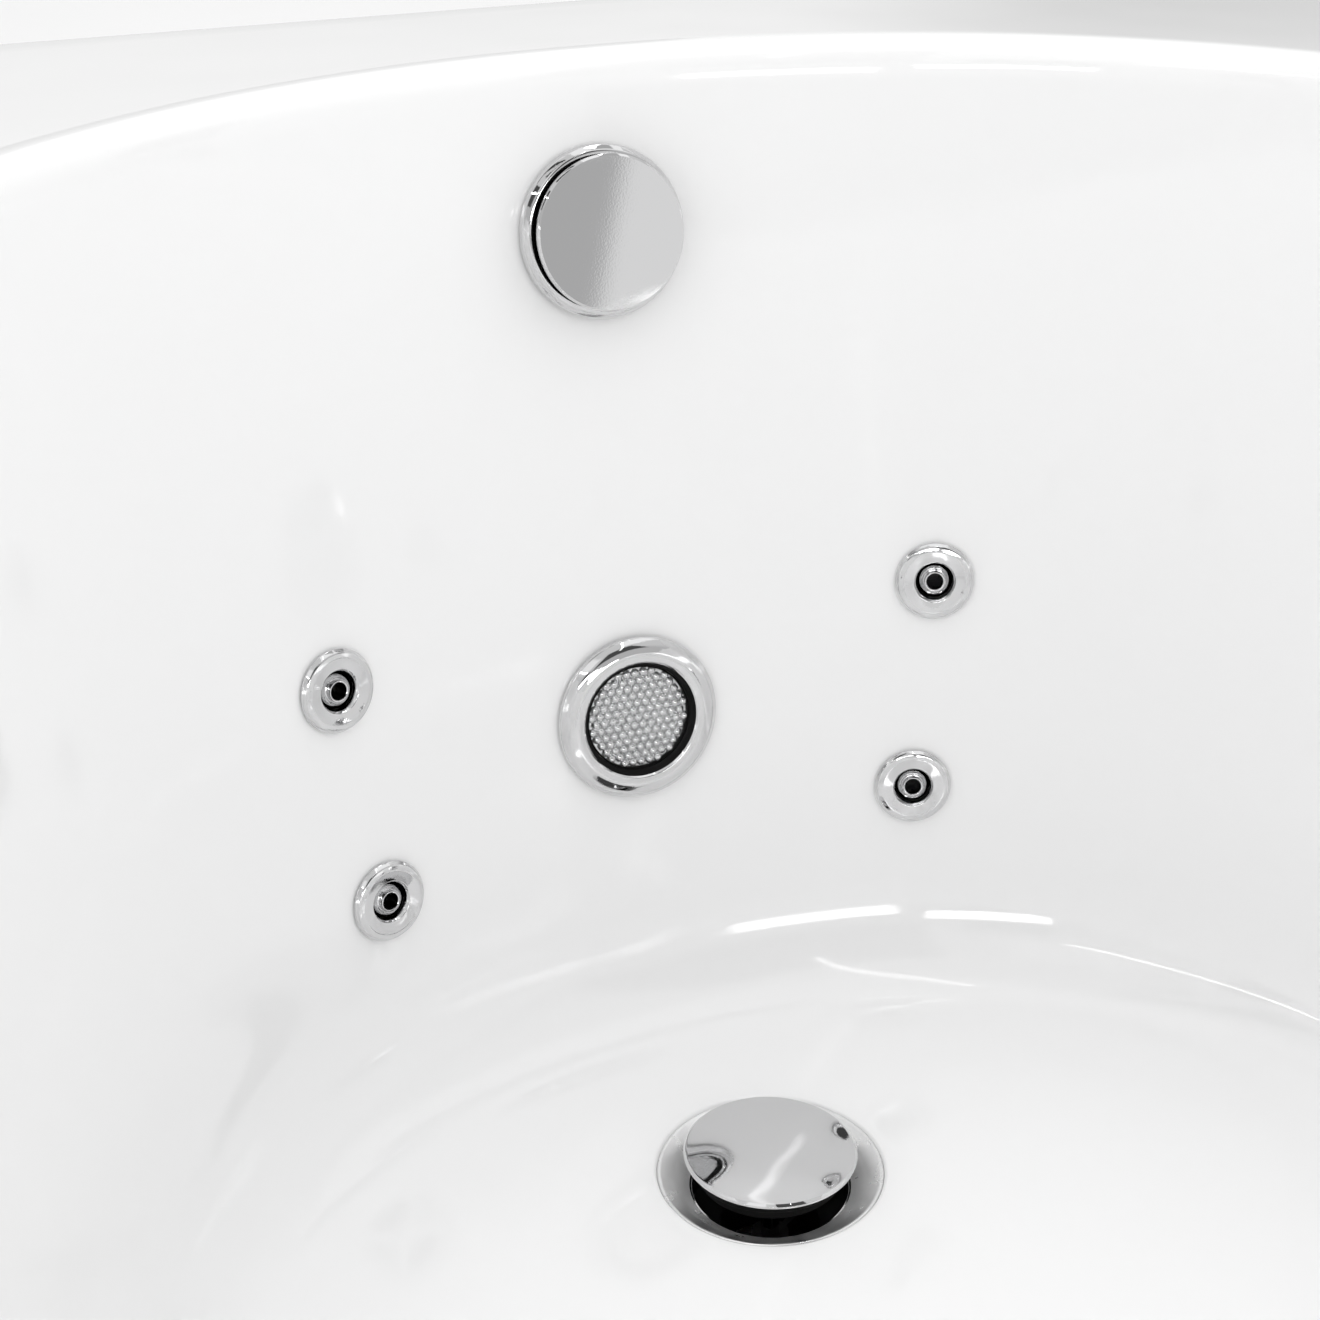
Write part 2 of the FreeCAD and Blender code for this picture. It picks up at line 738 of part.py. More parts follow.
# ---------------------------------------------------------------- overflow
R1 = cell("OverflowRing")
turned("overflow_ring", [(29.0, 2.3), (R1 - 1.6, 2.3), (R1 - 0.4, 2.9), (R1, 4.2), (R1 - 0.6, 6.6), (R1 - 2.2, 8.6),
                         (R1 - 4.2, 9.4), (R1 - 5.8, 9.0), (R1 - 6.9, 7.2), (28.6, 3.2)], P_OVER)
RK = cell("KnobRadius")
KT = cell("KnobTop")
turned("overflow_knob", [(0, KT), (RK - 1.0, KT), (RK, KT - 0.9), (RK, KT - 2.4), (RK - 0.8, KT - 3.2), (13.0, KT - 3.2),
                         (11.0, KT - 5.2), (11.0, 2.0), (4.0, 2.0), (4.0, -33.0), (0, -33.0)], P_OVER)
turned("overflow_gasket_blank", [(29.6, -10.5), (37.5, -10.5), (37.5, -3.0), (29.6, -3.0)], P_OVER, label=False)
fitted("overflow_gasket", doc.getObject("overflow_gasket_blank"))
turned("overflow_seal_blank", [(29.7, -2.0), (34.6, -2.0), (34.6, 2.3), (29.7, 2.3)], P_OVER, label=False)
fitted("overflow_seal", doc.getObject("overflow_seal_blank"))
# body behind the wall: a cup with the spindle bearing and a socket pointing straight down
WR = cell("WasteRadius")
x_ov = -775.0
z_ov = 478.0
ov_cup = turned("overflow_cup", [(25.8, 2.2), (29.3, 2.2), (29.3, -10.6), (40.0, -10.6), (40.0, -14.0), (33.0, -14.0),
                                 (33.0, -62.0), (0, -62.0), (0, -58.0), (29.0, -58.0), (29.0, -14.0), (25.8, -12.0)], P_OVER, label=False)
ov_sock = cyl("overflow_socket", WR + 3.0, 60.0, at(x_ov, 0, z_ov - 22.0))
ov_bear = cyl("overflow_bearing", 8.0, 30.0, P_OVER * at(0, 0, -60.0))
ov_all = fuse("overflow_body_solid", [ov_cup, ov_sock, ov_bear])
ov_t1 = cyl("overflow_bore", WR + 0.1, 24.0, at(x_ov, 0, z_ov - 24.0))
ov_t2 = cyl("overflow_way", WR - 2.0, 34.0, at(x_ov, 0, z_ov - 2.0))
ov_t3 = cyl("overflow_spindle_bore", 4.05, 40.0, P_OVER * at(0, 0, -36.0))
ov_tools = doc.addObject("Part::Compound", "overflow_tools")
ov_tools.Links = [ov_t1, ov_t2, ov_t3]
keep(cut("overflow_body", ov_all, ov_tools), "overflow_body")

# ---------------------------------------------------------------- waste
RF = cell("FlangeRadius")
RB = cell("FlangeBore")
flange_ring = turned("flange_ring", [(RB, -9.4), (RB + 0.5, -8.8), (RB + 1.3, -8.4), (RF - 1.4, -0.9), (RF - 0.5, -0.7), (RF, -1.1), (RF, -1.7),
                        (RF - 1.3, -2.4), (RB + 2.8, -9.9), (RB + 2.8, -21.5), (25.0, -31.0), (25.0, -48.0), (21.6, -48.0), (21.6, -30.0),
                        (RB, -20.0)], P_DRAIN, label=False)
RP = cell("PlugRadius")
PT = cell("PlugTop")
dome = 448.0
crown = [(r, PT + 1.4 - dome + math.sqrt(dome ** 2 - r ** 2)) for r in (0, 6.0, 12.0, 18.0, 24.0, 30.0)]
turned("plug_cap", crown + [(RP - 1.0, PT), (RP, PT - 0.9), (RP, PT - 1.7), (RP - 0.6, PT - 2.2), (4.0, PT - 2.2), (4.0, -58.0),
                    (3.0, -60.0), (0, -60.0)], P_DRAIN)
turned("plug_seal", [(4.05, PT - 2.25), (RP - 3.2, PT - 2.25), (RP - 3.0, PT - 5.4), (RP - 5.6, PT - 6.2), (RP - 5.6, PT - 11.0),
                     (26.0, PT - 13.0), (4.05, PT - 13.0)], P_DRAIN)
guide_hub = turned("guide_hub", [(4.06, -46.0), (8.0, -46.0), (8.0, -34.0), (4.06, -34.0)], P_DRAIN, label=False)
arms = []
for i in range(3):
    arms.append(box("guide_arm_%d" % (i + 1), 15.0, 3.0, 9.0, P_DRAIN * Placement(Vector(), Rotation(Vector(0, 0, 1), 120 * i)) * at(7.6, -1.5, -46.0)))
keep(fuse("drain_flange", [flange_ring, guide_hub] + arms), "drain_flange")
SEALS.append(turned("drain_gasket", [(36.2, -19.0), (52.0, -19.0), (52.0, -16.6), (36.2, -16.6)], P_DRAIN, label=False))
shoe_cup = turned("shoe_cup", [(0, -86.0), (30.0, -86.0), (30.0, -50.0), (30.0, -36.0), (40.5, -27.0), (52.0, -24.0), (52.0, -19.1), (36.4, -19.1),
                               (36.4, -23.0), (25.2, -33.0), (25.2, -78.0), (0, -78.0)], P_DRAIN, label=False)
shoe_arm = cyl("shoe_arm", WR + 3.0, 34.0, P_DRAIN * Placement(Vector(-26.0, 0, -62.0), Rotation(Vector(0, 1, 0), -90)))
shoe_boss = cyl("shoe_boss", 9.0, 14.0, P_DRAIN * at(0, 0, -99.0))
shoe_all = fuse("shoe_solid", [shoe_cup, shoe_arm, shoe_boss])
shoe_t1 = cyl("shoe_bore", WR + 0.1, 24.0, P_DRAIN * Placement(Vector(-44.0, 0, -62.0), Rotation(Vector(0, 1, 0), -90)))
shoe_t2 = cyl("shoe_way", WR - 4.0, 30.0, P_DRAIN * Placement(Vector(-18.0, 0, -62.0), Rotation(Vector(0, 1, 0), -90)))
shoe_t3 = cyl("shoe_lift", 5.0, 14.0, P_DRAIN * at(0, 0, -90.0))
shoe_tools = doc.addObject("Part::Compound", "shoe_tools")
shoe_tools.Links = [shoe_t1, shoe_t2, shoe_t3]
keep(cut("waste_shoe", shoe_all, shoe_tools), "waste_shoe")

xh = P_DRAIN.Rotation.multVec(Vector(1, 0, 0))
w0 = P_DRAIN.multVec(Vector(-44.2, 0, -62.0))
span = (x_ov - w0.x) / xh.x
w1 = w0 + xh * span                      # centre of the tee
w_end = w1 + xh * 23.0
z_tee = w1.z
tw = val("WasteWall")
wp = pipe("waste_run", [(w0.x, 0, w0.z), (w_end.x, 0, w_end.z)], 10, val("WasteRadius"), tw, label=False)
tee_run = cyl("tee_run", WR + 3.0, 68.0, at(x_ov, 0, z_tee - 34.0))
tee_arm = cyl("tee_arm", WR + 3.0, 36.0, along(w1, xh))
tee_all = fuse("tee_solid", [tee_run, tee_arm])
tee_b1 = cyl("tee_bore_top", WR + 0.1, 22.0, at(x_ov, 0, z_tee + 22.5))
tee_b2 = cyl("tee_bore_low", WR + 0.1, 22.0, at(x_ov, 0, z_tee - 44.5))
tee_b3 = cyl("tee_bore_arm", WR + 0.1, 22.0, along(w1 + xh * 22.8, xh))
tee_b4 = cyl("tee_way", WR - 2.0, 60.0, at(x_ov, 0, z_tee - 30.0))
tee_b5 = cyl("tee_way_arm", WR - 2.0, 30.0, along(w1, xh))
tee_tools = doc.addObject("Part::Compound", "tee_tools")
tee_tools.Links = [tee_b1, tee_b2, tee_b3, tee_b4, tee_b5]
keep(cut("waste_tee", tee_all, tee_tools), "waste_tee")
tube_ring = [(WR - tw, 0), (WR, 0)]
h_ov = (z_ov - 0.2) - (z_tee + 22.7)
op = turned("overflow_down", [(WR - tw, 0), (WR, 0), (WR, h_ov), (WR - tw, h_ov)], at(x_ov, 0, z_tee + 22.7), label=False)
tail_len = 62.0
tp = turned("tailpiece", [(WR - tw, 0), (WR, 0), (WR, 50.0), (WR - 0.4, 50.0), (WR - 0.4, tail_len), (WR - tw, tail_len)], at(x_ov, 0, z_tee - 22.7 - tail_len), label=False)
wps = doc.addObject("Part::Compound", "waste_pipes")
wps.Links = [wp, op, tp]
keep(wps, "waste_pipes")
# cable from the knob's body to the lifter under the plug
shoe_side = P_DRAIN.multVec(Vector(-9.2, 0, -93.0))
pipe("knob_cable", [(x_ov, 34.0, 505.0), (x_ov, 34.0, 120.0), (-735.0, 30.0, 84.0), (-605.0, 30.0, 84.0),
                    (shoe_side.x - 30, 2.0, shoe_side.z), (shoe_side.x, 0.0, shoe_side.z)], 30.0, 2.6)

# ---------------------------------------------------------------- light
RL = cell("LightRadius")
LR = cell("LensRadius")
turned("light_bezel", [(24.9, 2.1), (RL - 1.4, 2.1), (RL - 0.3, 2.7), (RL, 3.8), (RL - 0.8, 5.8), (RL - 3.0, 7.7), (RL - 6.0, 8.5),
                       (RL - 9.5, 8.2), (25.6, 7.2), (24.5, 6.2), (24.3, 4.6), (24.3, 2.1)], P_LIGHT)
turned("light_gasket_blank", [(25.0, -2.0), (34.5, -2.0), (34.5, 2.1), (25.0, 2.1)], P_LIGHT, label=False)
fitted("light_gasket", doc.getObject("light_gasket_blank"))
lh = turned("light_cup", [(LR + 0.1, 4.4), (24.2, 4.4), (24.2, -44.0), (7.0, -44.0), (7.0, -50.0), (0, -50.0), (0, -41.0), (LR - 1.4, -41.0),
                         (LR - 1.4, -8.1), (LR + 0.1, -8.1)], P_LIGHT, label=False)
turned("light_lens", [(0, -3.2), (LR - 0.6, -3.2), (LR, -3.8), (LR, -8.0), (0, -8.0)], P_LIGHT)
lb = turned("light_board", [(0, -12.0), (LR - 1.6, -12.0), (LR - 1.6, -10.4), (0, -10.4)], P_LIGHT, label=False)
lhc = doc.addObject("Part::Compound", "light_housing")
lhc.Links = [lh, lb]
keep(lhc, "light_housing")
NUTS.append(turned("light_nut", [(24.4, -18.0), (33.0, -18.0), (33.0, -8.2), (24.4, -8.2)], P_LIGHT, label=False))

# ---------------------------------------------------------------- jets
RJ = cell("JetRadius")
jet_trim = turned("jet_trim", [(9.4, 0.7), (RJ - 1.0, 0.7), (RJ, 1.7), (RJ - 0.3, 2.8), (RJ - 1.6, 4.0), (RJ - 3.4, 4.4), (9.6, 3.6), (8.6, 2.8),
                               (8.5, 1.0), (9.9, -2.0), (9.9, -14.0), (11.4, -14.0), (11.4, 0.7)][1:], label=False)
group("jet_trims", jet_trim, JETS)
jet_gask = turned("jet_gasket", [(12.4, -8.6), (18.0, -8.6), (18.0, -6.45), (12.4, -6.45)], label=False)
for i, p in enumerate(JETS):
    l = doc.addObject("App::Link", "jet_gasket_%d" % (i + 1))
    l.LinkedObject = jet_gask
    l.LinkPlacement = p
    SEALS.append(l)
RBALL = 9.0
ball_c = -5.0


def ball_profile():
    """Ball with a flat back, a shallow dish in front and a short nozzle tube."""
    pts = []
    a0, a1 = math.radians(-62), math.radians(44)
    for i in range(9):
        a = a0 + (a1 - a0) * i / 8
        pts.append((RBALL * math.cos(a), ball_c + RBALL * math.sin(a)))
    pts += [(5.6, ball_c + 5.0), (4.6, ball_c + 4.9), (4.6, 3.0), (3.8, 3.0), (3.8, -13.0)]
    return pts


pb0 = ball_profile()
balls_src = turned("jet_ball", pb0, label=False)
for i, p in enumerate(JETS):
    b = turned("jet_ball_%d" % (i + 1), ball_profile(), p)

cU = [JETS[i].multVec(Vector(0, 0, -28.0)) for i in range(8)]
# directions of the pipes through the bodies
dirs = []
dl = (cU[0] - cU[2]).normalize()
dr = (cU[1] - cU[3]).normalize()
dirs = [dl, dr, dl, dr]
df = (cU[5] - cU[4]).normalize()
dq = (cU[7] - cU[6]).normalize()
dirs += [df, df, dq, dq]
BR = cell("BranchRadius")
bodies = []
for i, p in enumerate(JETS):
    back = turned("jet_cup_%d" % (i + 1), [(11.6, -8.7), (20.0, -8.7), (20.0, -11.5), (16.0, -13.0), (16.0, -45.0), (0, -45.0), (0, -42.0), (11.6, -42.0)],
                  p, label=False)
    run = cyl("jet_run_%d" % (i + 1), BR + 3.0, 46.0, along(cU[i] - dirs[i] * 23.0, dirs[i]))
    solid = fuse("jet_solid_%d" % (i + 1), [back, run])
    h1 = cyl("jet_sock_a_%d" % (i + 1), BR + 0.06, 14.0, along(cU[i] + dirs[i] * 12.0, dirs[i]))
    h2 = cyl("jet_sock_b_%d" % (i + 1), BR + 0.06, 14.0, along(cU[i] - dirs[i] * 26.0, dirs[i]))
    h3 = cyl("jet_way_%d" % (i + 1), 8.0, 40.0, along(cU[i] - dirs[i] * 20.0, dirs[i]))
    h4 = cyl("jet_cav_%d" % (i + 1), 11.6, 33.0, p * at(0, 0, -42.0))
    hs = doc.addObject("Part::Compound", "jet_tools_%d" % (i + 1))
    hs.Links = [h1, h2, h3, h4]
    bodies.append(cut("jet_body_%d" % (i + 1), solid, hs))
jb = doc.addObject("Part::Compound", "jet_bodies")
jb.Links = bodies
keep(jb, "jet_bodies")

# ---------------------------------------------------------------- water pipes
pw = val("PipeWall")
br = val("BranchRadius")
mr = val("MainRadius")


def xyz(v):
    return (v.x, v.y, v.z)


riser_parts = []
cap_parts = []
for u, l, d in ((0, 2, dl), (1, 3, dr)):
    a = cU[l] + d * 12.2
    b = cU[u] - d * 12.2
    riser_parts.append(pipe_shape([xyz(a), xyz(b)], 5, br, pw))
    c = cU[u] + d * 12.2
    cap_parts.append(Part.makeCylinder(br, 14.0, c, d))
# the bow under the waste that feeds both foot risers, cut at its tee
z_bow = 60.0
bl = cU[2] - dl * 12.2
brr = cU[3] - dr * 12.2
bow_l = bl - dl * ((bl.z - z_bow) / dl.z)
bow_r = brr - dr * ((brr.z - z_bow) / dr.z)
ytee = -50.0
xb = bow_l.x
seg1 = pipe_shape([xyz(bl), xyz(bow_l), (xb, ytee - 13.2, z_bow)], 30.0, br, pw)
seg2 = pipe_shape([xyz(brr), xyz(bow_r), (xb, ytee + 13.2, z_bow)], 30.0, br, pw)
branch_parts = riser_parts + [seg1, seg2]
MR = cell("MainRadius")
ft_run = cyl("foot_tee_run", BR + 3.0, 52.0, along(Vector(xb, ytee - 26.0, z_bow), Vector(0, 1, 0)))
ft_arm = cyl("foot_tee_arm", MR + 3.0, 34.0, at(xb, ytee, z_bow))
ft_all = fuse("foot_tee_solid", [ft_run, ft_arm])
ft_1 = cyl("foot_tee_b1", BR + 0.06, 14.0, along(Vector(xb, ytee - 27.0, z_bow), Vector(0, 1, 0)))
ft_2 = cyl("foot_tee_b2", BR + 0.06, 14.0, along(Vector(xb, ytee + 13.0, z_bow), Vector(0, 1, 0)))
ft_3 = cyl("foot_tee_b3", MR + 0.06, 16.0, at(xb, ytee, z_bow + 20.0))
ft_4 = cyl("foot_tee_b4", 8.5, 40.0, along(Vector(xb, ytee - 20.0, z_bow), Vector(0, 1, 0)))
ft_5 = cyl("foot_tee_b5", 10.0, 30.0, at(xb, ytee, z_bow))
ft_tools = doc.addObject("Part::Compound", "foot_tee_tools")
ft_tools.Links = [ft_1, ft_2, ft_3, ft_4, ft_5]
foot_tee = cut("foot_tee", ft_all, ft_tools)

zm = 122.0
ym = -110.0
xc4 = 255.0
xv = 420.0
main_a = pipe_shape([(602.0, -57.0, 135.0), (548.0, -57.0, 135.0), (492.0, ym, zm), (xv + 13.2, ym, zm)], 60.0, mr, pw)
main_b = pipe_shape([(xv - 13.2, ym, zm), (xc4 + 18.2, ym, zm)], 10.0, mr, pw)
main_c = pipe_shape([(xc4 - 18.2, ym, zm), (-590.0, ym, zm), (xb, ytee, zm), (xb, ytee, z_bow + 20.2)], 34.0, mr, pw)
o = doc.addObject("Part::Feature", "water_main")
o.Shape = Part.makeCompound([main_a, main_b, main_c])
keep(o, "water_main")
# four-way piece and air venturi on the main
X1 = Vector(1, 0, 0)
Y1 = Vector(0, 1, 0)
cr_run = cyl("cross_run", MR + 3.0, 64.0, along(Vector(xc4 - 32.0, ym, zm), X1))
cr_arm = cyl("cross_arm", BR + 3.0, 76.0, along(Vector(xc4, ym - 38.0, zm), Y1))
cr_all = fuse("cross_solid", [cr_run, cr_arm])
cr_tools = doc.addObject("Part::Compound", "cross_tools")
cr_tools.Links = [cyl("cross_b1", MR + 0.06, 16.0, along(Vector(xc4 - 34.0, ym, zm), X1)),
                  cyl("cross_b2", MR + 0.06, 16.0, along(Vector(xc4 + 18.0, ym, zm), X1)),
                  cyl("cross_b3", MR - 2.0, 60.0, along(Vector(xc4 - 30.0, ym, zm), X1)),
                  cyl("cross_b4", BR + 0.06, 14.0, along(Vector(xc4, ym - 38.0, zm), Y1)),
                  cyl("cross_b5", BR + 0.06, 14.0, along(Vector(xc4, ym + 24.0, zm), Y1)),
                  cyl("cross_b6", BR - 2.5, 70.0, along(Vector(xc4, ym - 35.0, zm), Y1))]
main_cross = cut("main_cross", cr_all, cr_tools)
ve_run = cyl("venturi_run", MR + 3.0, 54.0, along(Vector(xv - 27.0, ym, zm), X1))
ve_arm = cyl("venturi_barb", 6.0, 44.0, along(Vector(xv, ym, zm), Y1 * -1))
ve_all = fuse("venturi_solid", [ve_run, ve_arm])
ve_tools = doc.addObject("Part::Compound", "venturi_tools")
ve_tools.Links = [cyl("venturi_b1", MR + 0.06, 14.0, along(Vector(xv - 27.0, ym, zm), X1)),
                  cyl("venturi_b2", MR + 0.06, 14.0, along(Vector(xv + 13.0, ym, zm), X1)),
                  cyl("venturi_b3", 9.0, 50.0, along(Vector(xv - 25.0, ym, zm), X1)),
                  cyl("venturi_b4", 3.0, 46.0, along(Vector(xv, ym, zm), Y1 * -1))]
venturi = cut("venturi", ve_all, ve_tools)

xd = 255.0
for name, i_f, i_h, d, s in (("side_pipe_front", 4, 5, df, -1), ("side_pipe_rear", 6, 7, dq, 1)):
    link = pipe_shape([xyz(cU[i_f] + d * 12.2), xyz(cU[i_h] - d * 12.2)], 5, br, pw)
    e0 = cU[i_h] + d * 12.2
    e1 = cU[i_h] + d * ((xd - cU[i_h].x) / d.x)
    y_end = ym + s * 24.2
    drop = pipe_shape([xyz(e0), xyz(e1), (xd, e1.y, zm), (xd, y_end, zm)], 34.0, br, pw)
    branch_parts += [link, drop]
    cap_parts.append(Part.makeCylinder(br, 14.0, cU[i_f] - d * 12.2, d * -1.0))
o = doc.addObject("Part::Feature", "branch_pipes")
o.Shape = Part.makeCompound(branch_parts)
keep(o, "branch_pipes")
o = doc.addObject("Part::Feature", "pipe_caps")
o.Shape = Part.makeCompound(cap_parts)
fit = doc.addObject("Part::Compound", "pipe_fittings")
fit.Links = [foot_tee, main_cross, venturi, o]
keep(fit, "pipe_fittings")

# ---------------------------------------------------------------- suction
RS = cell("SuctionRadius")
gr = new_body("suction_grille")
sk = loops_sketch(gr, "grille_outline", "XZ_Plane", [[(0, 9.5), (20.0, 9.0), (36.0, 7.0), (RS - 2.0, 3.4), (RS, 1.8), (RS, 1.2), (0, 1.2)]])
rev = gr.newObject("PartDesign::Revolution", "grille_turn")
rev.Profile = sk
rev.ReferenceAxis = (sk, ["V_Axis"])
rev.Angle = 360
doc.recompute()
sk2 = loops_sketch(gr, "grille_holes", "XY_Plane", [], [(12.0 * i, 0.0, 2.2) for i in (1, 2)] + [(34.0, 0.0, 2.2)])
po = gr.newObject("PartDesign::Pocket", "grille_pocket")
po.Profile = sk2
po.Length = 30.0
po.Midplane = True
doc.recompute()
pp = gr.newObject("PartDesign::PolarPattern", "grille_pattern")
pp.Originals = [po]
pp.Axis = (sk2, ["N_Axis"])
pp.Angle = 360
pp.Occurrences = 14
gr.Tip = pp
doc.recompute()
gr.Placement = P_SUCT
keep(gr, "suction_grille")
turned("suction_gasket_blank", [(31.0, -11.5), (40.0, -11.5), (40.0, -3.0), (31.0, -3.0)], P_SUCT, label=False)
fitted("suction_gasket", doc.getObject("suction_gasket_blank"))
SUC = 22.0
su_cup = turned("suction_cup", [(26.0, 1.15), (36.0, 1.15), (36.0, 0.65), (30.0, 0.65), (30.0, -76.0), (0, -76.0), (0, -72.0), (26.0, -72.0)], P_SUCT, label=False)
su_c = P_SUCT.multVec(Vector(0, 0, -49.0))
su_arm = cyl("suction_arm", SUC + 3.0, 52.0, along(Vector(su_c.x, su_c.y, su_c.z), Vector(0, 0, -1)))
su_all = fuse("suction_solid", [su_cup, su_arm])
su_tools = doc.addObject("Part::Compound", "suction_tools")
su_tools.Links = [cyl("suction_b1", SUC + 0.06, 18.0, along(Vector(su_c.x, su_c.y, su_c.z - 38.0), Vector(0, 0, -1))),
                  cyl("suction_b2", SUC - 3.0, 44.0, along(su_c, Vector(0, 0, -1)))]
keep(cut("suction_body", su_all, su_tools), "suction_body")
NUTS.append(turned("suction_nut", [(30.1, -20.0), (40.0, -20.0), (40.0, -11.6), (30.1, -11.6)], P_SUCT, label=False))
px, pz, py = val("PumpX"), val("PumpZ"), -val("PumpY")
inlet_y = py + 92.0
pipe("suction_pipe", [(su_c.x, su_c.y, su_c.z - 38.2), (su_c.x, su_c.y, 168.0), (su_c.x + 150.0, 288.0, 168.0), (px, 288.0, 168.0),
                      (px, 120.0, pz), (px, inlet_y + 0.2, pz)], 60.0, SUC, 2.5)

# ---------------------------------------------------------------- pump; its axis runs along Y
P_PUMP = Placement(Vector(px, py, pz), Rotation(Vector(1, 0, 0), -90))      # local Z is +Y, local Y is down
RV = cell("VoluteRadius")
vol = turned("volute_case", [(9.0, 2.0), (RV - 12.0, 2.0), (RV, 10.0), (RV, 50.0), (RV - 12.0, 60.0), (SUC + 6.0, 60.0), (SUC + 6.0, 92.0 + 16.0),
                             (SUC + 0.06, 92.0 + 16.0), (SUC + 0.06, 92.0), (SUC - 3.0, 92.0), (SUC - 3.0, 56.0), (RV - 13.5, 56.0), (RV - 4.0, 48.0),
                             (RV - 4.0, 12.0), (RV - 13.5, 6.0), (9.0, 6.0)], P_PUMP, label=False)
dis = cyl("volute_outlet", MR + 4.0, 102.0, along(Vector(px, -57.0, 135.0), X1 * -1))
vol_all = fuse("volute_solid", [vol, dis])
vol_tools = doc.addObject("Part::Compound", "volute_tools")
vol_tools.Links = [cyl("volute_b1", MR + 0.06, 16.0, along(Vector(602.4, -57.0, 135.0), X1 * -1)),
                   cyl("volute_b2", MR - 2.0, 80.0, along(Vector(px - 5.0, -57.0, 135.0), X1 * -1)),
                   cyl("volute_b3", RV - 4.0, 36.0, P_PUMP * at(0, 0, 12.0))]
keep(cut("pump_volute", vol_all, vol_tools), "pump_volute")
imp_disc = turned("impeller_disc", [(0, 14.0), (60.0, 14.0), (60.0, 18.0), (16.0, 19.0), (12.0, 34.0), (0, 36.0)], P_PUMP, label=False)
vanes = []
for i in range(6):
    vanes.append(box("vane_%d" % (i + 1), 44.0, 3.0, 18.0, P_PUMP * Placement(Vector(), Rotation(Vector(0, 0, 1), 60 * i)) * at(12.0, 4.0, 17.0)))
imp_all = fuse("impeller_solid", [imp_disc] + vanes)
keep(cut("pump_impeller", imp_all, cyl("impeller_bore", 6.0, 20.0, P_PUMP * at(0, 0, 12.0))), "pump_impeller")
MO = cell("MotorRadius")
turned("motor_rotor", [(0, -232.0), (6.0, -232.0), (6.0, -206.0), (7.0, -206.0), (7.0, -150.0), (29.4, -150.0), (29.4, -50.0), (7.0, -50.0),
                       (7.0, 4.0), (6.0, 4.0), (6.0, 32.0), (0, 32.0)], P_PUMP)
motor = new_body("motor_housing")
sk = loops_sketch(motor, "motor_outline", "XZ_Plane", [[(7.05, 0.0), (RV - 14.0, 0.0), (RV - 14.0, -8.0), (MO - 6.0, -14.0), (MO - 6.0, -196.0),
                                                       (MO - 12.0, -203.0), (7.05, -203.0), (7.05, -197.0), (MO - 12.0, -190.0),
                                                       (MO - 12.0, -20.0), (MO - 20.0, -8.0), (7.05, -8.0)]])
rev = motor.newObject("PartDesign::Revolution", "motor_turn")
rev.Profile = sk
rev.ReferenceAxis = (sk, ["V_Axis"])
rev.Angle = 360
doc.recompute()
fin_sk = loops_sketch(motor, "fin_section", "XY_Plane", [rect(MO - 7.0, -1.2, MO, 1.2)])
fin = motor.newObject("PartDesign::Pad", "fin_pad")
fin.Profile = fin_sk
fin.Length = 160.0
fin.Reversed = True
fin_sk.AttachmentOffset = Placement(Vector(0, 0, -24.0), Rotation())
doc.recompute()
fp = motor.newObject("PartDesign::PolarPattern", "fin_pattern")
fp.Originals = [fin]
fp.Axis = (fin_sk, ["N_Axis"])
fp.Angle = 360
fp.Occurrences = 24
motor.Tip = fp
doc.recompute()
motor.Placement = P_PUMP
turned("motor_stator", [(30.0, -150.0), (MO - 12.2, -150.0), (MO - 12.2, -50.0), (30.0, -50.0)], P_PUMP)
fan_hub = turned("fan_hub", [(6.0, -230.0), (14.0, -230.0), (14.0, -208.0), (6.0, -208.0)], P_PUMP, label=False)
blades = []
for i in range(6):
    blades.append(box("blade_%d" % (i + 1), 34.0, 2.0, 18.0, P_PUMP * Placement(Vector(), Rotation(Vector(0, 0, 1), 60 * i)) * at(12.0, -1.0, -228.0)))
keep(fuse("motor_fan", [fan_hub] + blades), "motor_fan")
cover0 = turned("fan_cover_cup", [(MO + 0.5, -188.0), (MO + 2.5, -188.0), (MO + 2.5, -236.0), (MO - 4.0, -242.0), (0, -242.0), (0, -240.0), (MO - 5.0, -240.0),
                                  (MO + 0.5, -235.0)], P_PUMP, label=False)
slots = []
for i in range(-3, 4):
    slots.append(box("vent_%d" % (i + 4), 2 * math.sqrt(44.0 ** 2 - (i * 12.0) ** 2), 5.0, 8.0,
                     P_PUMP * at(-math.sqrt(44.0 ** 2 - (i * 12.0) ** 2), i * 12.0 - 2.5, -245.0)))
vt = doc.addObject("Part::Compound", "vents")
vt.Links = slots
keep(cut("fan_cover", cover0, vt), "fan_cover")
term0 = box("terminal_block", 64.0, 80.0, 34.0, at(px - 32.0, py - 150.0, pz + val("MotorRadius") + 0.5))
mh = doc.addObject("Part::Compound", "motor_housing_set")
mh.Links = [motor, term0]
keep(mh, "motor_housing")
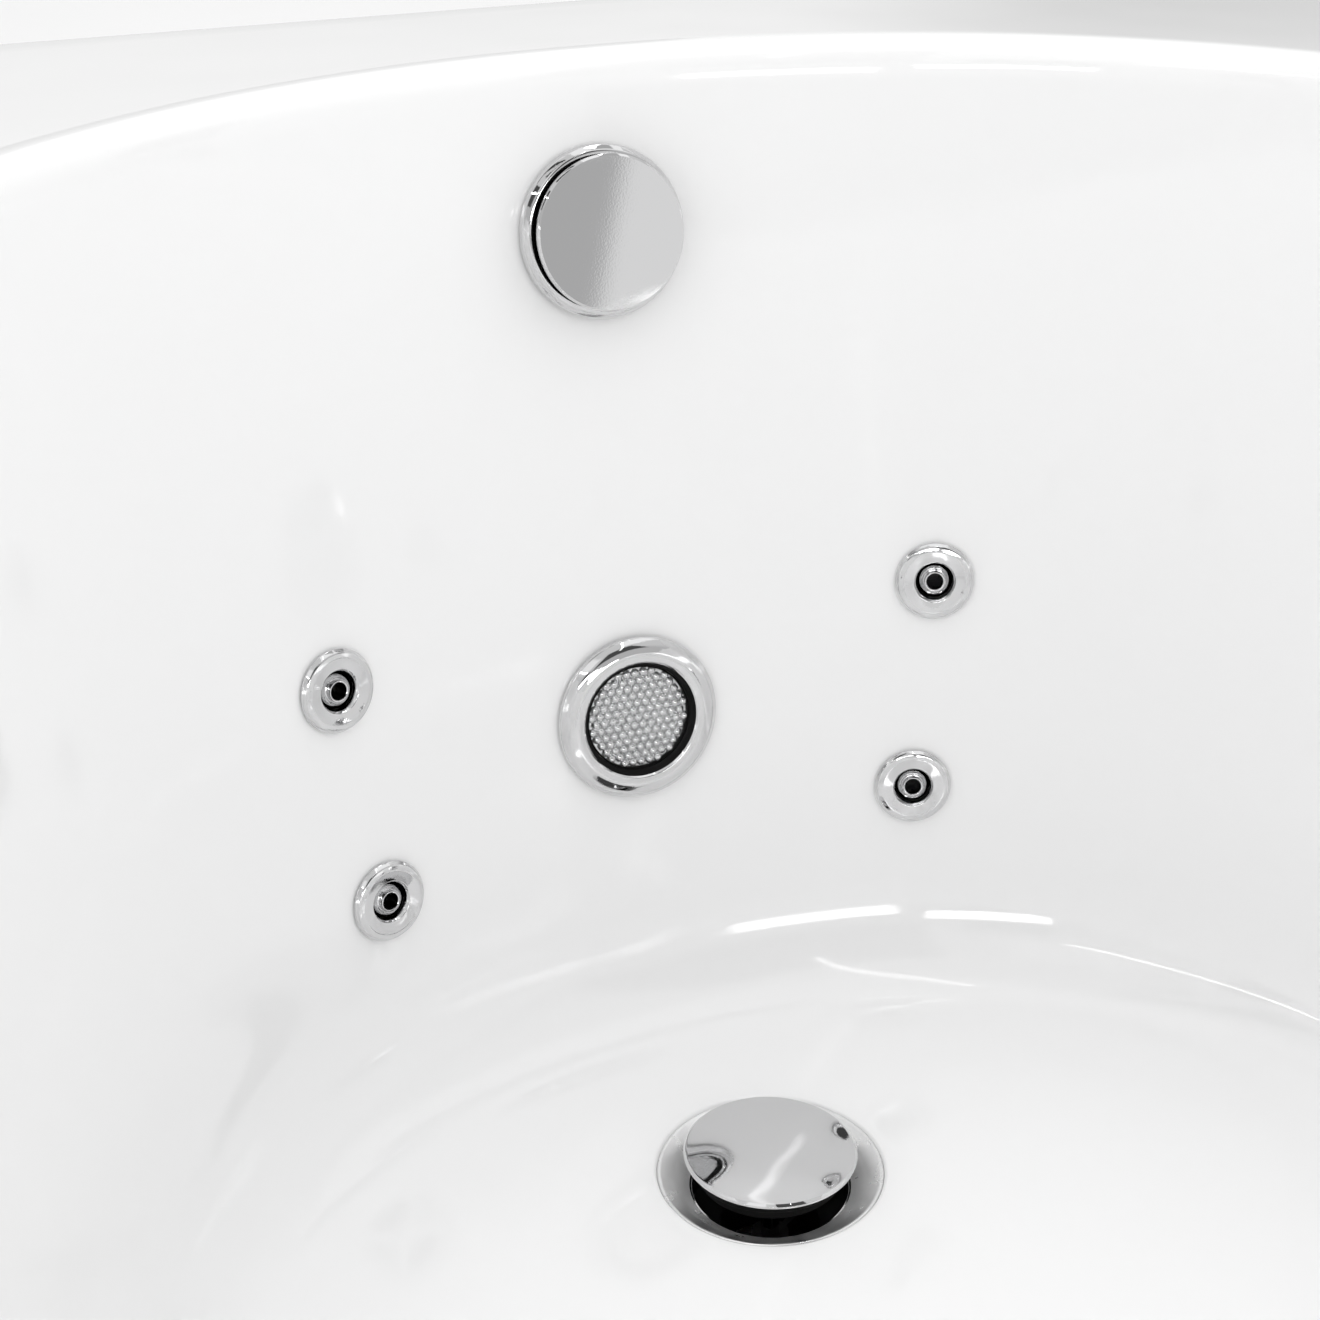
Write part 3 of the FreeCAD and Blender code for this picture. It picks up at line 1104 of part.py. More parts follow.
# tray, cradle and rubber mounts
rb, rh, rw_, ry = cell("RailBottom"), cell("RailHeight"), cell("RailWide"), cell("RailY")
z_tray = val("RailBottom") + val("RailHeight")
tray = box("pump_tray_plate", 250.0, 610.0, 3.0, at(586.0, -300.0, z_tray))
keep(tray, "pump_tray")
cr = prism("pump_cradle_a", "XZ_Plane", [[(-62.0, 0), (62.0, 0), (62.0, 6.0), (46.0, 6.0), (40.0, 34.0), (24.0, 25.5), (-24.0, 25.5), (-40.0, 34.0), (-46.0, 6.0),
                                          (-62.0, 6.0)]], 24.0, place=at(px, py - 40.0, z_tray + 16.2), label=False)
cr_b = prism("pump_cradle_b", "XZ_Plane", [[(-62.0, 0), (62.0, 0), (62.0, 6.0), (46.0, 6.0), (40.0, 34.0), (24.0, 25.5), (-24.0, 25.5), (-40.0, 34.0), (-46.0, 6.0),
                                            (-62.0, 6.0)]], 24.0, place=at(px, py - 140.0, z_tray + 16.2), label=False)
cmp_ = doc.addObject("Part::Compound", "pump_cradles")
cmp_.Links = [cr, cr_b]
sad = cyl("cradle_clear", MO + 0.4, 300.0, Placement(Vector(px, py + 10.0, pz), Rotation(Vector(1, 0, 0), 90)))
keep(cut("pump_cradle", cmp_, sad), "pump_cradle")
mount = turned("pump_mount", [(0, 0), (12.0, 0), (9.0, 5.0), (9.0, 8.0), (12.0, 13.0), (0, 13.0)], label=False)
group("pump_mounts", mount, [at(px + sx * 50.0, py + yy - 12.0, z_tray + 3.1) for sx in (-1, 1) for yy in (-40.0, -140.0)])

# ---------------------------------------------------------------- frame
rails = []
t2 = cell("RailWall")


def box_section(name, length, w=None, h=None):
    w = w or rw_
    h = h or rh
    hw = w * 0.5
    return prism(name, "YZ_Plane", [rect(-hw, 0, hw, h), rect(-hw + t2, t2, hw - t2, h - t2)], length, label=False)


rail = box_section("rail_tube", cell("RailLength"))
for s, nm in ((-1, "rail_front"), (1, "rail_rear")):
    holes = doc.addObject("Part::Compound", nm + "_holes")
    holes.Links = [cyl("%s_hole_%d" % (nm, i), cell("StudRadius") + 0.5, 80.0, at(sx * val("FootX"), s * val("RailY"), 40.0))
                   for i, sx in enumerate((-1, 1))]
    l = doc.addObject("App::Link", nm + "_link")
    l.LinkedObject = rail
    l.LinkPlacement = at(-val("RailLength") / 2, s * val("RailY"), val("RailBottom"))
    cp = doc.addObject("Part::Compound", nm + "_tube")
    cp.Links = [l]
    rails.append(cut(nm, cp, holes))
beam_len = 2 * val("RailY") - val("RailWide") - 0.2
beam = box_section("beam_tube", ry * 2 - rw_ - 0.2)
beams_x = (-430.0, -70.0, 310.0, 610.0, 790.0)
turn_y = Rotation(Vector(0, 0, 1), 90)
for i, x in enumerate(beams_x):
    l = doc.addObject("App::Link", "cross_beam_%d" % (i + 1))
    l.LinkedObject = beam
    l.LinkPlacement = at(x, -beam_len / 2, val("RailBottom"), turn_y)
    rails.append(l)
up_len = zdeck - thick - z_tray - 0.2
post = box_section("post_tube", cell("TubHeight") - cell("ShellThick") - rb - rh - 0.2, h=rw_)
stand = Rotation(Vector(0, 1, 0), -90)
for x in (-785.0, 785.0):
    for s in (-1, 1):
        l = doc.addObject("App::Link", "upright_%d" % len(rails))
        l.LinkedObject = post
        l.LinkPlacement = at(x + 12.5, s * val("RailY"), z_tray + 0.1, stand)
        rails.append(l)

# base board under the floor, and packing blocks on three beams
bt = val("BoardThick")
board_pl = P_DRAIN * at(76.0, -190.0, -thick - bt)
board = box("base_board", 810.0, 380.0, cell("BoardThick"), board_pl)
blocks = [board]
for i, x in enumerate(beams_x[:3]):
    def under(xx):
        p0 = board_pl.multVec(Vector(0, 0, 0))
        return p0.z + math.tan(tilt) * (xx - p0.x)
    h0, h1 = under(x - 40.0) - z_tray - 0.05, under(x + 40.0) - z_tray - 0.05
    for s in (-1, 1):
        y0 = 205.0 if s > 0 else -135.0
        blocks.append(prism("block_%d_%d" % (i + 1, s + 2), "XZ_Plane", [[(-40.0, 0), (40.0, 0), (40.0, h1), (-40.0, h0)]], 70.0,
                            place=at(x, y0, z_tray), label=False))
bc = doc.addObject("Part::Compound", "base_board_set")
bc.Links = blocks
keep(bc, "base_board")

# levelling feet and their nuts
SR = cell("StudRadius")
PR = cell("PadRadius")
k = 0
nut_places = []
for sx in (-1, 1):
    for sy in (-1, 1):
        k += 1
        turned("levelling_foot_%d" % k, [(0, 0), (PR, 0), (PR, 5.0), (PR - 4.0, 9.0), (14.0, 12.0), (10.0, 16.0), (SR, 18.0), (SR, 128.0),
                                         (SR - 1.0, 130.0), (0, 130.0)], at(sx * val("FootX"), sy * val("RailY"), 0))
        for z in (val("RailBottom") - 10.1, z_tray + 0.1):
            nut_places.append(at(sx * val("FootX"), sy * val("RailY"), z))
hexa = [(11.0 * math.cos(math.radians(60 * i)), 11.0 * math.sin(math.radians(60 * i))) for i in range(6)]
nut = prism("foot_nut", "XY_Plane", [hexa], 10.0, [(0, 0, SR + 0.05)], label=False)
group("foot_nuts", nut, nut_places)

# ---------------------------------------------------------------- front apron and access panel
AF, AT = val("ApronFace"), val("ApronThick")
ax0, ax1, az0, az1 = 470.0, 800.0, 120.0, 440.0
apron_z0, apron_z1 = 2.0, 588.0
ap = prism("front_apron", "XZ_Plane", [[(-842.0, apron_z0), (842.0, apron_z0), (842.0, 556.0), (817.0, 556.0), (817.0, apron_z1), (-817.0, apron_z1),
                                        (-817.0, 556.0), (-842.0, 556.0)], rect(ax0, az0, ax1, az1)], cell("ApronThick"),
           circles=[(x, z, 3.5) for x in (ax0 - 12.0, ax1 + 12.0) for z in (az0 + 40.0, az1 - 40.0)],
           place=at(0, -AF + AT, 0))
panel = prism("access_panel", "XZ_Plane", [rect(ax0 - 22.0, az0 - 22.0, ax1 + 22.0, az1 + 22.0)], 3.0,
              circles=[(x, z, 3.2) for x in (ax0 - 12.0, ax1 + 12.0) for z in (az0 + 40.0, az1 - 40.0)],
              place=at(0, -AF - 0.1, 0))
screw = turned("access_screw", [(0, 2.6), (4.5, 2.6), (6.0, 1.2), (6.0, 0.0), (3.0, 0.0), (3.0, -11.0), (0, -11.0)], label=False)
face_out = Rotation(Vector(1, 0, 0), 90)
group("access_screws", screw, [at(x, -AF - 3.15, z, face_out) for x in (ax0 - 12.0, ax1 + 12.0) for z in (az0 + 40.0, az1 - 40.0)])
brk = prism("apron_bracket", "YZ_Plane", [[(0, 0), (13.4, 0), (13.4, 40.0), (10.9, 40.0), (10.9, 2.5), (0, 2.5)]], 50.0, label=False)
for i, x in enumerate((-560.0, 30.0, 420.0, 800.0)):
    l = doc.addObject("App::Link", "apron_bracket_%d" % (i + 1))
    l.LinkedObject = brk
    l.LinkPlacement = at(x, -val("RailY") - val("RailWide") / 2 - 0.1, 78.0, Rotation(Vector(0, 0, 1), 180))
    rails.append(l)
fr = doc.addObject("Part::Compound", "frame_set")
fr.Links = rails
keep(fr, "frame")

# ---------------------------------------------------------------- air control and button
turned("air_control_body", [(12.06, 3.0), (17.0, 3.0), (26.0, 2.4), (26.0, 0.3), (16.0, 0.3), (16.0, -34.0), (6.0, -34.0), (6.0, -56.0), (0, -56.0),
                            (0, -30.0), (12.06, -30.0)], P_AIR)
turned("air_control_knob", [(0, 19.0), (15.0, 19.0), (18.0, 16.0), (20.0, 4.5), (12.0, 3.4), (12.0, -20.0), (0, -20.0)], P_AIR)
NUTS.append(turned("air_nut", [(16.1, -16.0), (24.0, -16.0), (24.0, -6.1), (16.1, -6.1)], P_AIR, label=False))
turned("air_button_body", [(12.06, 2.2), (18.0, 2.2), (22.0, 1.2), (22.0, 0.3), (14.0, 0.3), (14.0, -34.0), (4.0, -34.0), (4.0, -48.0), (0, -48.0),
                           (0, -28.0), (12.06, -28.0)], P_BUTTON)
turned("air_button", [(0, 6.5), (9.5, 6.2), (12.0, 4.6), (12.0, -14.0), (0, -14.0)], P_BUTTON)
NUTS.append(turned("button_nut", [(14.1, -15.0), (21.0, -15.0), (21.0, -6.1), (14.1, -6.1)], P_BUTTON, label=False))
nn = doc.addObject("Part::Compound", "fitting_nuts")
nn.Links = NUTS
keep(nn, "fitting_nuts")
gg = doc.addObject("Part::Compound", "gaskets")
gg.Links = SEALS
keep(gg, "gaskets")
hy = ym - 44.0
pipe("air_hose", [(val("AirX"), -val("AirY"), zdeck - 56.2), (val("AirX"), -val("AirY"), 330.0), (560.0, -340.0, 200.0), (xv, -300.0, 128.0),
                  (xv, hy - 0.2, zm)], 60.0, 8.0, 2.0)

# ---------------------------------------------------------------- electrics
cb = box("control_case", 92.0, 150.0, 64.0, at(738.0, 150.0, z_tray + 3.1))
gl = turned("mains_gland", [(4.5, 0), (9.0, 0), (9.0, 4.0), (7.5, 5.0), (7.5, 11.0), (4.5, 11.0)],
            Placement(Vector(830.1, 190.0, 140.0), Rotation(Vector(0, 1, 0), 90)), label=False)
cbs = doc.addObject("Part::Compound", "control_box_set")
cbs.Links = [cb, gl]
keep(cbs, "control_box")
zb = z_tray + 3.1 + 64.0
pipe("button_tube", [(val("ButtonX"), -val("ButtonY"), zdeck - 48.2), (val("ButtonX"), -val("ButtonY"), 470.0), (700.0, -372.0, 400.0), (815.0, -320.0, 370.0),
                     (818.0, -150.0, 350.0), (818.0, 100.0, 320.0), (812.0, 180.0, 260.0), (812.0, 180.0, zb + 0.2)], 70.0, 3.5)
ls = P_LIGHT.multVec(Vector(24.6, 0, -36.0))
side = 1.0 if ls.y > 0 else -1.0
l0 = P_LIGHT.multVec(Vector(side * 24.6, 0, -36.0))
l1 = P_LIGHT.multVec(Vector(side * 46.0, 0, -36.0))
lc = pipe("light_cable", [xyz(l0), xyz(l1), (-752.0, 100.0, 350.0), (-764.0, 200.0, 440.0), (-748.0, 320.0, 520.0), (-690.0, 398.0, 556.0), (-500.0, 405.0, 562.0),
                     (-150.0, 405.0, 566.0), (250.0, 405.0, 562.0), (620.0, 404.0, 556.0), (730.0, 390.0, 480.0), (752.0, 320.0, 330.0), (768.0, 262.0, 240.0),
                     (768.0, 262.0, zb + 0.2)], 80.0, 3.0, label=False)
tz = pz + val("MotorRadius") + 17.0
mc = pipe("motor_cable", [(px + 32.2, py - 110.0, tz), (px + 78.0, py - 110.0, tz), (px + 118.0, py - 40.0, tz - 10), (px + 112.0, 60.0, 215.0), (px + 96.0, 96.0, 145.0),
                     (px + 96.0, 149.8, 145.0)], 40.0, 4.5, label=False)
cc = doc.addObject("Part::Compound", "cables")
cc.Links = [lc, mc]
keep(cc, "cables")

# ---------------------------------------------------------------- checks and export
doc.recompute()
bad = []
for o in doc.Objects:
    st = [s for s in o.State if s in ("Invalid", "Error")]
    if st:
        bad.append((o.Name, st))
for name, o in NODES:
    s = o.Shape
    if s.isNull() or not s.isValid() or not s.Solids:
        bad.append((name, "shape", s.isNull()))
if bad:
    for b in bad:
        print("BAD", b)
    raise RuntimeError("some pieces failed")
names = [n for n, _ in NODES]
assert len(set(names)) == len(names)
assert len(names) <= 60
os.makedirs("parts", exist_ok=True)
for name, o in NODES:
    o.Shape.exportStep("parts/%s.step" % name)
print(len(NODES), "nodes written")
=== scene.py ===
import math

import bmesh
import bpy
import numpy as np
from mathutils import Matrix, Vector


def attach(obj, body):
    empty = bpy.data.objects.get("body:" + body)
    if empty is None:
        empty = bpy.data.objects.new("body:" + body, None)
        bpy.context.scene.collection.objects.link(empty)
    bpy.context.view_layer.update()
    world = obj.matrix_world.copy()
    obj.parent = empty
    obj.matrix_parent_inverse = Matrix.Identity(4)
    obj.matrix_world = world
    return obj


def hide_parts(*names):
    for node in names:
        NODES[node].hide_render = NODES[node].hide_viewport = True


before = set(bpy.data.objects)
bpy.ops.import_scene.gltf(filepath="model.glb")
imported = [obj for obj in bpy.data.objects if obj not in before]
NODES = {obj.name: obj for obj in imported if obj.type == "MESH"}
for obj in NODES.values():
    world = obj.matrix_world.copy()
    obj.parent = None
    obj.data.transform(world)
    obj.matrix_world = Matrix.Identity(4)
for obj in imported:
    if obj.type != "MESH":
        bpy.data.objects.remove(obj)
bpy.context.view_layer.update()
MM = 0.001
rng = np.random.default_rng(7)


# ================================================================ helpers
def link(obj):
    bpy.context.scene.collection.objects.link(obj)
    return obj


def mesh_object(name, verts, faces, mats=(), slots=None, smooth=True):
    me = bpy.data.meshes.new(name)
    me.from_pydata([tuple(v) for v in verts], [], [tuple(int(i) for i in f) for f in faces])
    for m in mats:
        me.materials.append(m)
    if slots is not None:
        me.polygons.foreach_set("material_index", np.asarray(slots, np.int32))
    me.polygons.foreach_set("use_smooth", [bool(smooth)] * len(me.polygons))
    me.update()
    return link(bpy.data.objects.new(name, me))


def sharp(obj, deg=32):
    obj.data.set_sharp_from_angle(angle=math.radians(deg))


def rounded(pts, radii, n=6, closed=False):
    """Outline with its corners rounded: pts (r, z) in mm, radii per corner."""
    pts = [np.array(p, float) for p in pts]
    out = []
    m = len(pts)
    for i, p in enumerate(pts):
        r = radii[i] if isinstance(radii, (list, tuple)) else radii
        if r <= 0 or (not closed and i in (0, m - 1)):
            out.append(p)
            continue
        a, b = pts[i - 1] - p, pts[(i + 1) % m] - p
        la, lb = np.linalg.norm(a), np.linalg.norm(b)
        if la < 1e-6 or lb < 1e-6:
            out.append(p)
            continue
        a, b = a / la, b / lb
        c = float(np.clip(np.dot(a, b), -1, 1))
        half = math.acos(c) / 2
        if half > math.pi / 2 - 0.02:
            out.append(p)
            continue
        t = min(r / math.tan(half), la * 0.48, lb * 0.48)
        rr = t * math.tan(half)
        bis = (a + b) / np.linalg.norm(a + b)
        centre = p + bis * (rr / math.sin(half))
        v0, v1 = p + a * t - centre, p + b * t - centre
        a0 = math.atan2(v0[1], v0[0])
        a1 = math.atan2(v1[1], v1[0])
        d = (a1 - a0 + math.pi) % (2 * math.pi) - math.pi
        for k in range(n + 1):
            an = a0 + d * k / n
            out.append(centre + rr * np.array([math.cos(an), math.sin(an)]))
    return out


def lathe_data(profile, seg=128, closed=True):
    """Vertices and faces of an outline (r, z) turned about Z, in the profile's units."""
    prof = [np.array(p, float) for p in profile]
    verts, rings, faces = [], [], []
    for p in prof:
        if p[0] < 1e-6:
            rings.append([len(verts)])
            verts.append((0.0, 0.0, p[1]))
        else:
            base = len(verts)
            rings.append(list(range(base, base + seg)))
            for k in range(seg):
                a = 2 * math.pi * k / seg
                verts.append((p[0] * math.cos(a), p[0] * math.sin(a), p[1]))
    pairs = list(zip(rings[:-1], rings[1:]))
    if closed and len(rings[0]) > 1 and len(rings[-1]) > 1:
        pairs.append((rings[-1], rings[0]))
    for a, b in pairs:
        if len(a) == 1 and len(b) == 1:
            continue
        if len(a) == 1:
            faces += [(a[0], b[(k + 1) % seg], b[k]) for k in range(seg)]
        elif len(b) == 1:
            faces += [(a[k], a[(k + 1) % seg], b[0]) for k in range(seg)]
        else:
            faces += [(a[k], a[(k + 1) % seg], b[(k + 1) % seg], b[k]) for k in range(seg)]
    return np.array(verts), faces


def outward(obj):
    bm = bmesh.new()
    bm.from_mesh(obj.data)
    bmesh.ops.recalc_face_normals(bm, faces=bm.faces)
    bm.to_mesh(obj.data)
    bm.free()
    obj.data.update()


def placed(M, verts_mm):
    v = np.asarray(verts_mm, float) * MM
    m = np.array(M)
    return v @ m[:3, :3].T + m[:3, 3]


def lathe(name, profile, M, mat, body, nodes=(), seg=128, deg=32, extra=()):
    """A turned piece at a placement. extra holds further (profile, placement) pairs joined into it."""
    allv, allf = [], []
    for prof, mm in [(profile, M)] + list(extra):
        v, f = lathe_data(prof, seg)
        base = sum(len(a) for a in allv)
        allv.append(placed(mm, v))
        allf += [tuple(i + base for i in q) for q in f]
    o = mesh_object(name, np.vstack(allv), allf, [mat])
    outward(o)
    sharp(o, deg)
    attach(o, body)
    if nodes:
        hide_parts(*nodes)
    return o


def two_tone(name, profile, M, mats, second, body, nodes=(), closed=False, seg=192):
    """A turned piece whose second material covers the faces picked by second(r, z)."""
    v, f = lathe_data(profile, seg, closed=closed)
    a, b = [], []
    for q in f:
        c = v[list(q)].mean(0)
        (b if second(math.hypot(*v[q[0]][:2]) if len(q) > 3 else math.hypot(c[0], c[1]), c[2]) else a).append(q)
    me = placed(M, v)
    o = mesh_object(name, me, a + b, mats, [0] * len(a) + [1] * len(b))
    outward(o)
    sharp(o, 32)
    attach(o, body)
    if nodes:
        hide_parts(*nodes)
    return o


def joined(name, parts, mats, body, nodes=(), deg=32, merge=False):
    """Several (verts in metres, faces, material index) as one piece."""
    allv, allf, sl = [], [], []
    base = 0
    for v, f, m in parts:
        allv.append(np.asarray(v, float))
        allf += [tuple(i + base for i in q) for q in f]
        sl += [m] * len(f)
        base += len(v)
    o = mesh_object(name, np.vstack(allv), allf, mats, sl)
    if merge:
        bm = bmesh.new()
        bm.from_mesh(o.data)
        bmesh.ops.remove_doubles(bm, verts=bm.verts, dist=1e-6)
        bmesh.ops.delete(bm, geom=[v for v in bm.verts if not v.link_faces], context="VERTS")
        bm.to_mesh(o.data)
        bm.free()
    outward(o)
    sharp(o, deg)
    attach(o, body)
    if nodes:
        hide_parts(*nodes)
    return o


# ================================================================ materials
def new_mat(name, base, rough, metal=0.0, **kw):
    m = bpy.data.materials.new(name)
    m.use_nodes = True
    nt = m.node_tree
    b = nt.nodes["Principled BSDF"]
    b.inputs["Base Color"].default_value = (*base, 1.0)
    b.inputs["Roughness"].default_value = rough
    b.inputs["Metallic"].default_value = metal
    for k, v in kw.items():
        b.inputs[k].default_value = v
    return m, nt, b


def coords(nt, scale=(1, 1, 1)):
    tc = nt.nodes.new("ShaderNodeTexCoord")
    mp = nt.nodes.new("ShaderNodeMapping")
    mp.inputs["Scale"].default_value = scale
    nt.links.new(tc.outputs["Object"], mp.inputs["Vector"])
    return mp.outputs["Vector"]


def noise(nt, vec, scale, detail=3.0, rough=0.5, distort=0.0):
    n = nt.nodes.new("ShaderNodeTexNoise")
    n.inputs["Scale"].default_value = scale
    n.inputs["Detail"].default_value = detail
    n.inputs["Roughness"].default_value = rough
    n.inputs["Distortion"].default_value = distort
    nt.links.new(vec, n.inputs["Vector"])
    return n.outputs["Fac"]


def ramp(nt, fac, stops):
    r = nt.nodes.new("ShaderNodeValToRGB")
    e = r.color_ramp.elements
    e[0].position, e[0].color = stops[0][0], (*stops[0][1], 1)
    e[1].position, e[1].color = stops[-1][0], (*stops[-1][1], 1)
    for p, c in stops[1:-1]:
        x = e.new(p)
        x.color = (*c, 1)
    nt.links.new(fac, r.inputs["Fac"])
    return r.outputs["Color"]


def remap(nt, fac, lo, hi, a=0.0, b=1.0):
    r = nt.nodes.new("ShaderNodeMapRange")
    r.inputs["From Min"].default_value = a
    r.inputs["From Max"].default_value = b
    r.inputs["To Min"].default_value = lo
    r.inputs["To Max"].default_value = hi
    nt.links.new(fac, r.inputs["Value"])
    return r.outputs["Result"]


def bump(nt, b, fac, distance, strength=1.0, prev=None):
    n = nt.nodes.new("ShaderNodeBump")
    n.inputs["Strength"].default_value = strength
    n.inputs["Distance"].default_value = distance
    nt.links.new(fac, n.inputs["Height"])
    if prev is not None:
        nt.links.new(prev, n.inputs["Normal"])
    nt.links.new(n.outputs["Normal"], b.inputs["Normal"])
    return n.outputs["Normal"]


def acrylic(name, base, rough=0.06, wave=0.00045):
    m, nt, b = new_mat(name, base, rough)
    b.inputs["IOR"].default_value = 1.49
    b.inputs["Coat Weight"].default_value = 0.35
    b.inputs["Coat Roughness"].default_value = 0.03
    v = coords(nt)
    n1 = noise(nt, v, 5.0, 2.0, 0.5)
    n2 = noise(nt, v, 420.0, 2.0, 0.5)
    nt.links.new(remap(nt, noise(nt, v, 18.0, 4.0, 0.6), rough * 0.75, rough * 1.5, 0.3, 0.7), b.inputs["Roughness"])
    p = bump(nt, b, n1, wave * 6)
    bump(nt, b, n2, 0.000006, 1.0, p)
    return m


def metal(name, base, rough, aniso=0.0, micro=0.00001, smudge=0.5, scale=60.0):
    m, nt, b = new_mat(name, base, rough, 1.0)
    v = coords(nt)
    f = noise(nt, v, scale, 5.0, 0.6, 0.4)
    nt.links.new(remap(nt, f, rough * (1 - smudge), rough * (1 + smudge), 0.3, 0.7), b.inputs["Roughness"])
    bump(nt, b, noise(nt, v, scale * 22, 2.0, 0.5), micro)
    return m


def plastic(name, base, rough, spread=0.05, grain=1400.0, depth=0.00004, coat=0.0, blotch=14.0):
    m, nt, b = new_mat(name, base, rough)
    v = coords(nt)
    f = noise(nt, v, blotch, 4.0, 0.6)
    lo = tuple(max(0.0, c * (1 - spread)) for c in base)
    hi = tuple(min(1.0, c * (1 + spread)) for c in base)
    nt.links.new(ramp(nt, f, [(0.3, lo), (0.7, hi)]), b.inputs["Base Color"])
    nt.links.new(remap(nt, noise(nt, v, blotch * 5, 3.0), rough * 0.8, min(1.0, rough * 1.25), 0.3, 0.7), b.inputs["Roughness"])
    b.inputs["Coat Weight"].default_value = coat
    bump(nt, b, noise(nt, v, grain, 3.0, 0.6), depth)
    return m


def fibreglass(name):
    m, nt, b = new_mat(name, (0.70, 0.68, 0.60), 0.45)
    v = coords(nt)
    vo = nt.nodes.new("ShaderNodeTexVoronoi")
    vo.feature = "DISTANCE_TO_EDGE"
    vo.inputs["Scale"].default_value = 55.0
    nt.links.new(v, vo.inputs["Vector"])
    strands = noise(nt, coords(nt, (1, 7, 3)), 60.0, 6.0, 0.75, 1.4)
    strands2 = noise(nt, coords(nt, (7, 1, 4)), 60.0, 6.0, 0.75, 1.4)
    mx = nt.nodes.new("ShaderNodeMath")
    mx.operation = "MAXIMUM"
    nt.links.new(strands, mx.inputs[0])
    nt.links.new(strands2, mx.inputs[1])
    col = ramp(nt, mx.outputs[0], [(0.42, (0.56, 0.53, 0.42)), (0.56, (0.70, 0.68, 0.58)), (0.72, (0.86, 0.85, 0.79))])
    nt.links.new(col, b.inputs["Base Color"])
    nt.links.new(remap(nt, noise(nt, v, 9.0, 4.0), 0.30, 0.62, 0.3, 0.7), b.inputs["Roughness"])
    p = bump(nt, b, mx.outputs[0], 0.0011)
    bump(nt, b, vo.outputs["Distance"], 0.0004, 0.5, p)
    return m


def galvanised(name):
    m, nt, b = new_mat(name, (0.62, 0.64, 0.65), 0.42, 0.85)
    v = coords(nt)
    vo = nt.nodes.new("ShaderNodeTexVoronoi")
    vo.inputs["Scale"].default_value = 70.0
    nt.links.new(v, vo.inputs["Vector"])
    sep = nt.nodes.new("ShaderNodeSeparateColor")
    nt.links.new(vo.outputs["Color"], sep.inputs["Color"])
    nt.links.new(ramp(nt, sep.outputs[0], [(0.0, (0.50, 0.52, 0.54)), (1.0, (0.72, 0.74, 0.75))]), b.inputs["Base Color"])
    nt.links.new(remap(nt, sep.outputs[1], 0.30, 0.55), b.inputs["Roughness"])
    bump(nt, b, noise(nt, v, 260.0, 4.0, 0.6), 0.00008)
    return m


def chipboard(name):
    m, nt, b = new_mat(name, (0.62, 0.48, 0.32), 0.75)
    v = coords(nt)
    vo = nt.nodes.new("ShaderNodeTexVoronoi")
    vo.inputs["Scale"].default_value = 260.0
    vo.inputs["Randomness"].default_value = 1.0
    nt.links.new(coords(nt, (1, 0.55, 1)), vo.inputs["Vector"])
    sep = nt.nodes.new("ShaderNodeSeparateColor")
    nt.links.new(vo.outputs["Color"], sep.inputs["Color"])
    nt.links.new(ramp(nt, sep.outputs[0], [(0.0, (0.36, 0.25, 0.14)), (0.35, (0.58, 0.44, 0.28)), (0.7, (0.70, 0.56, 0.38)), (1.0, (0.80, 0.68, 0.50))]),
                 b.inputs["Base Color"])
    bump(nt, b, sep.outputs[1], 0.0003)
    return m


MAT = {}
MAT["acrylic"] = acrylic("white_acrylic", (0.93, 0.93, 0.93))
# painted shade: the apron is the basin's white acrylic with its colour painted down to 0.70 against 0.93
MAT["apron"] = acrylic("apron_acrylic_painted_shade", (0.70, 0.70, 0.70), 0.12)
MAT["fibre"] = fibreglass("fibreglass_back")
MAT["chrome"] = metal("polished_chrome", (0.67, 0.67, 0.675), 0.03)
MAT["mirror"] = metal("mirror_chrome", (0.70, 0.70, 0.705), 0.02, micro=0.000003)
MAT["brushed"] = metal("brushed_chrome", (0.88, 0.88, 0.88), 0.34, micro=0.00003, smudge=0.3, scale=90.0)
MAT["satin"] = metal("satin_chrome", (0.66, 0.66, 0.665), 0.22, micro=0.00003)
MAT["stainless"] = metal("stainless", (0.62, 0.62, 0.62), 0.22)
MAT["zinc"] = metal("zinc_plate", (0.66, 0.66, 0.63), 0.34, micro=0.00005)
MAT["lamination"] = metal("laminations", (0.40, 0.40, 0.41), 0.45, micro=0.00008)
MAT["black"] = plastic("black_plastic", (0.022, 0.022, 0.023), 0.42, 0.25)
# painted shade: near-black with little specular, laid on the bezel gaps, the knob's underside, the lamp cup, the waste
# bore and the plug seal, where only shade falls
MAT["dark"] = plastic("painted_shade_black", (0.005, 0.005, 0.005), 0.62, 0.2)
MAT["dark"].node_tree.nodes["Principled BSDF"].inputs["Specular IOR Level"].default_value = 0.16
MAT["rubber"] = plastic("rubber", (0.030, 0.030, 0.031), 0.62, 0.25, 900.0, 0.00008)
MAT["pvc_white"] = plastic("pvc_white", (0.80, 0.80, 0.77), 0.32, 0.04, 900.0, 0.00003)
MAT["pvc_grey"] = plastic("pvc_grey", (0.33, 0.34, 0.36), 0.34, 0.06, 900.0, 0.00003)
MAT["abs"] = plastic("abs_white", (0.82, 0.82, 0.81), 0.24, 0.03, 700.0, 0.00003)
MAT["motor"] = plastic("motor_paint", (0.045, 0.050, 0.056), 0.40, 0.2, 500.0, 0.00016)
MAT["hose"] = plastic("hose_grey", (0.42, 0.43, 0.44), 0.40, 0.08, 600.0, 0.00005)
MAT["galv"] = galvanised("galvanised_steel")
MAT["board"] = chipboard("particle_board")


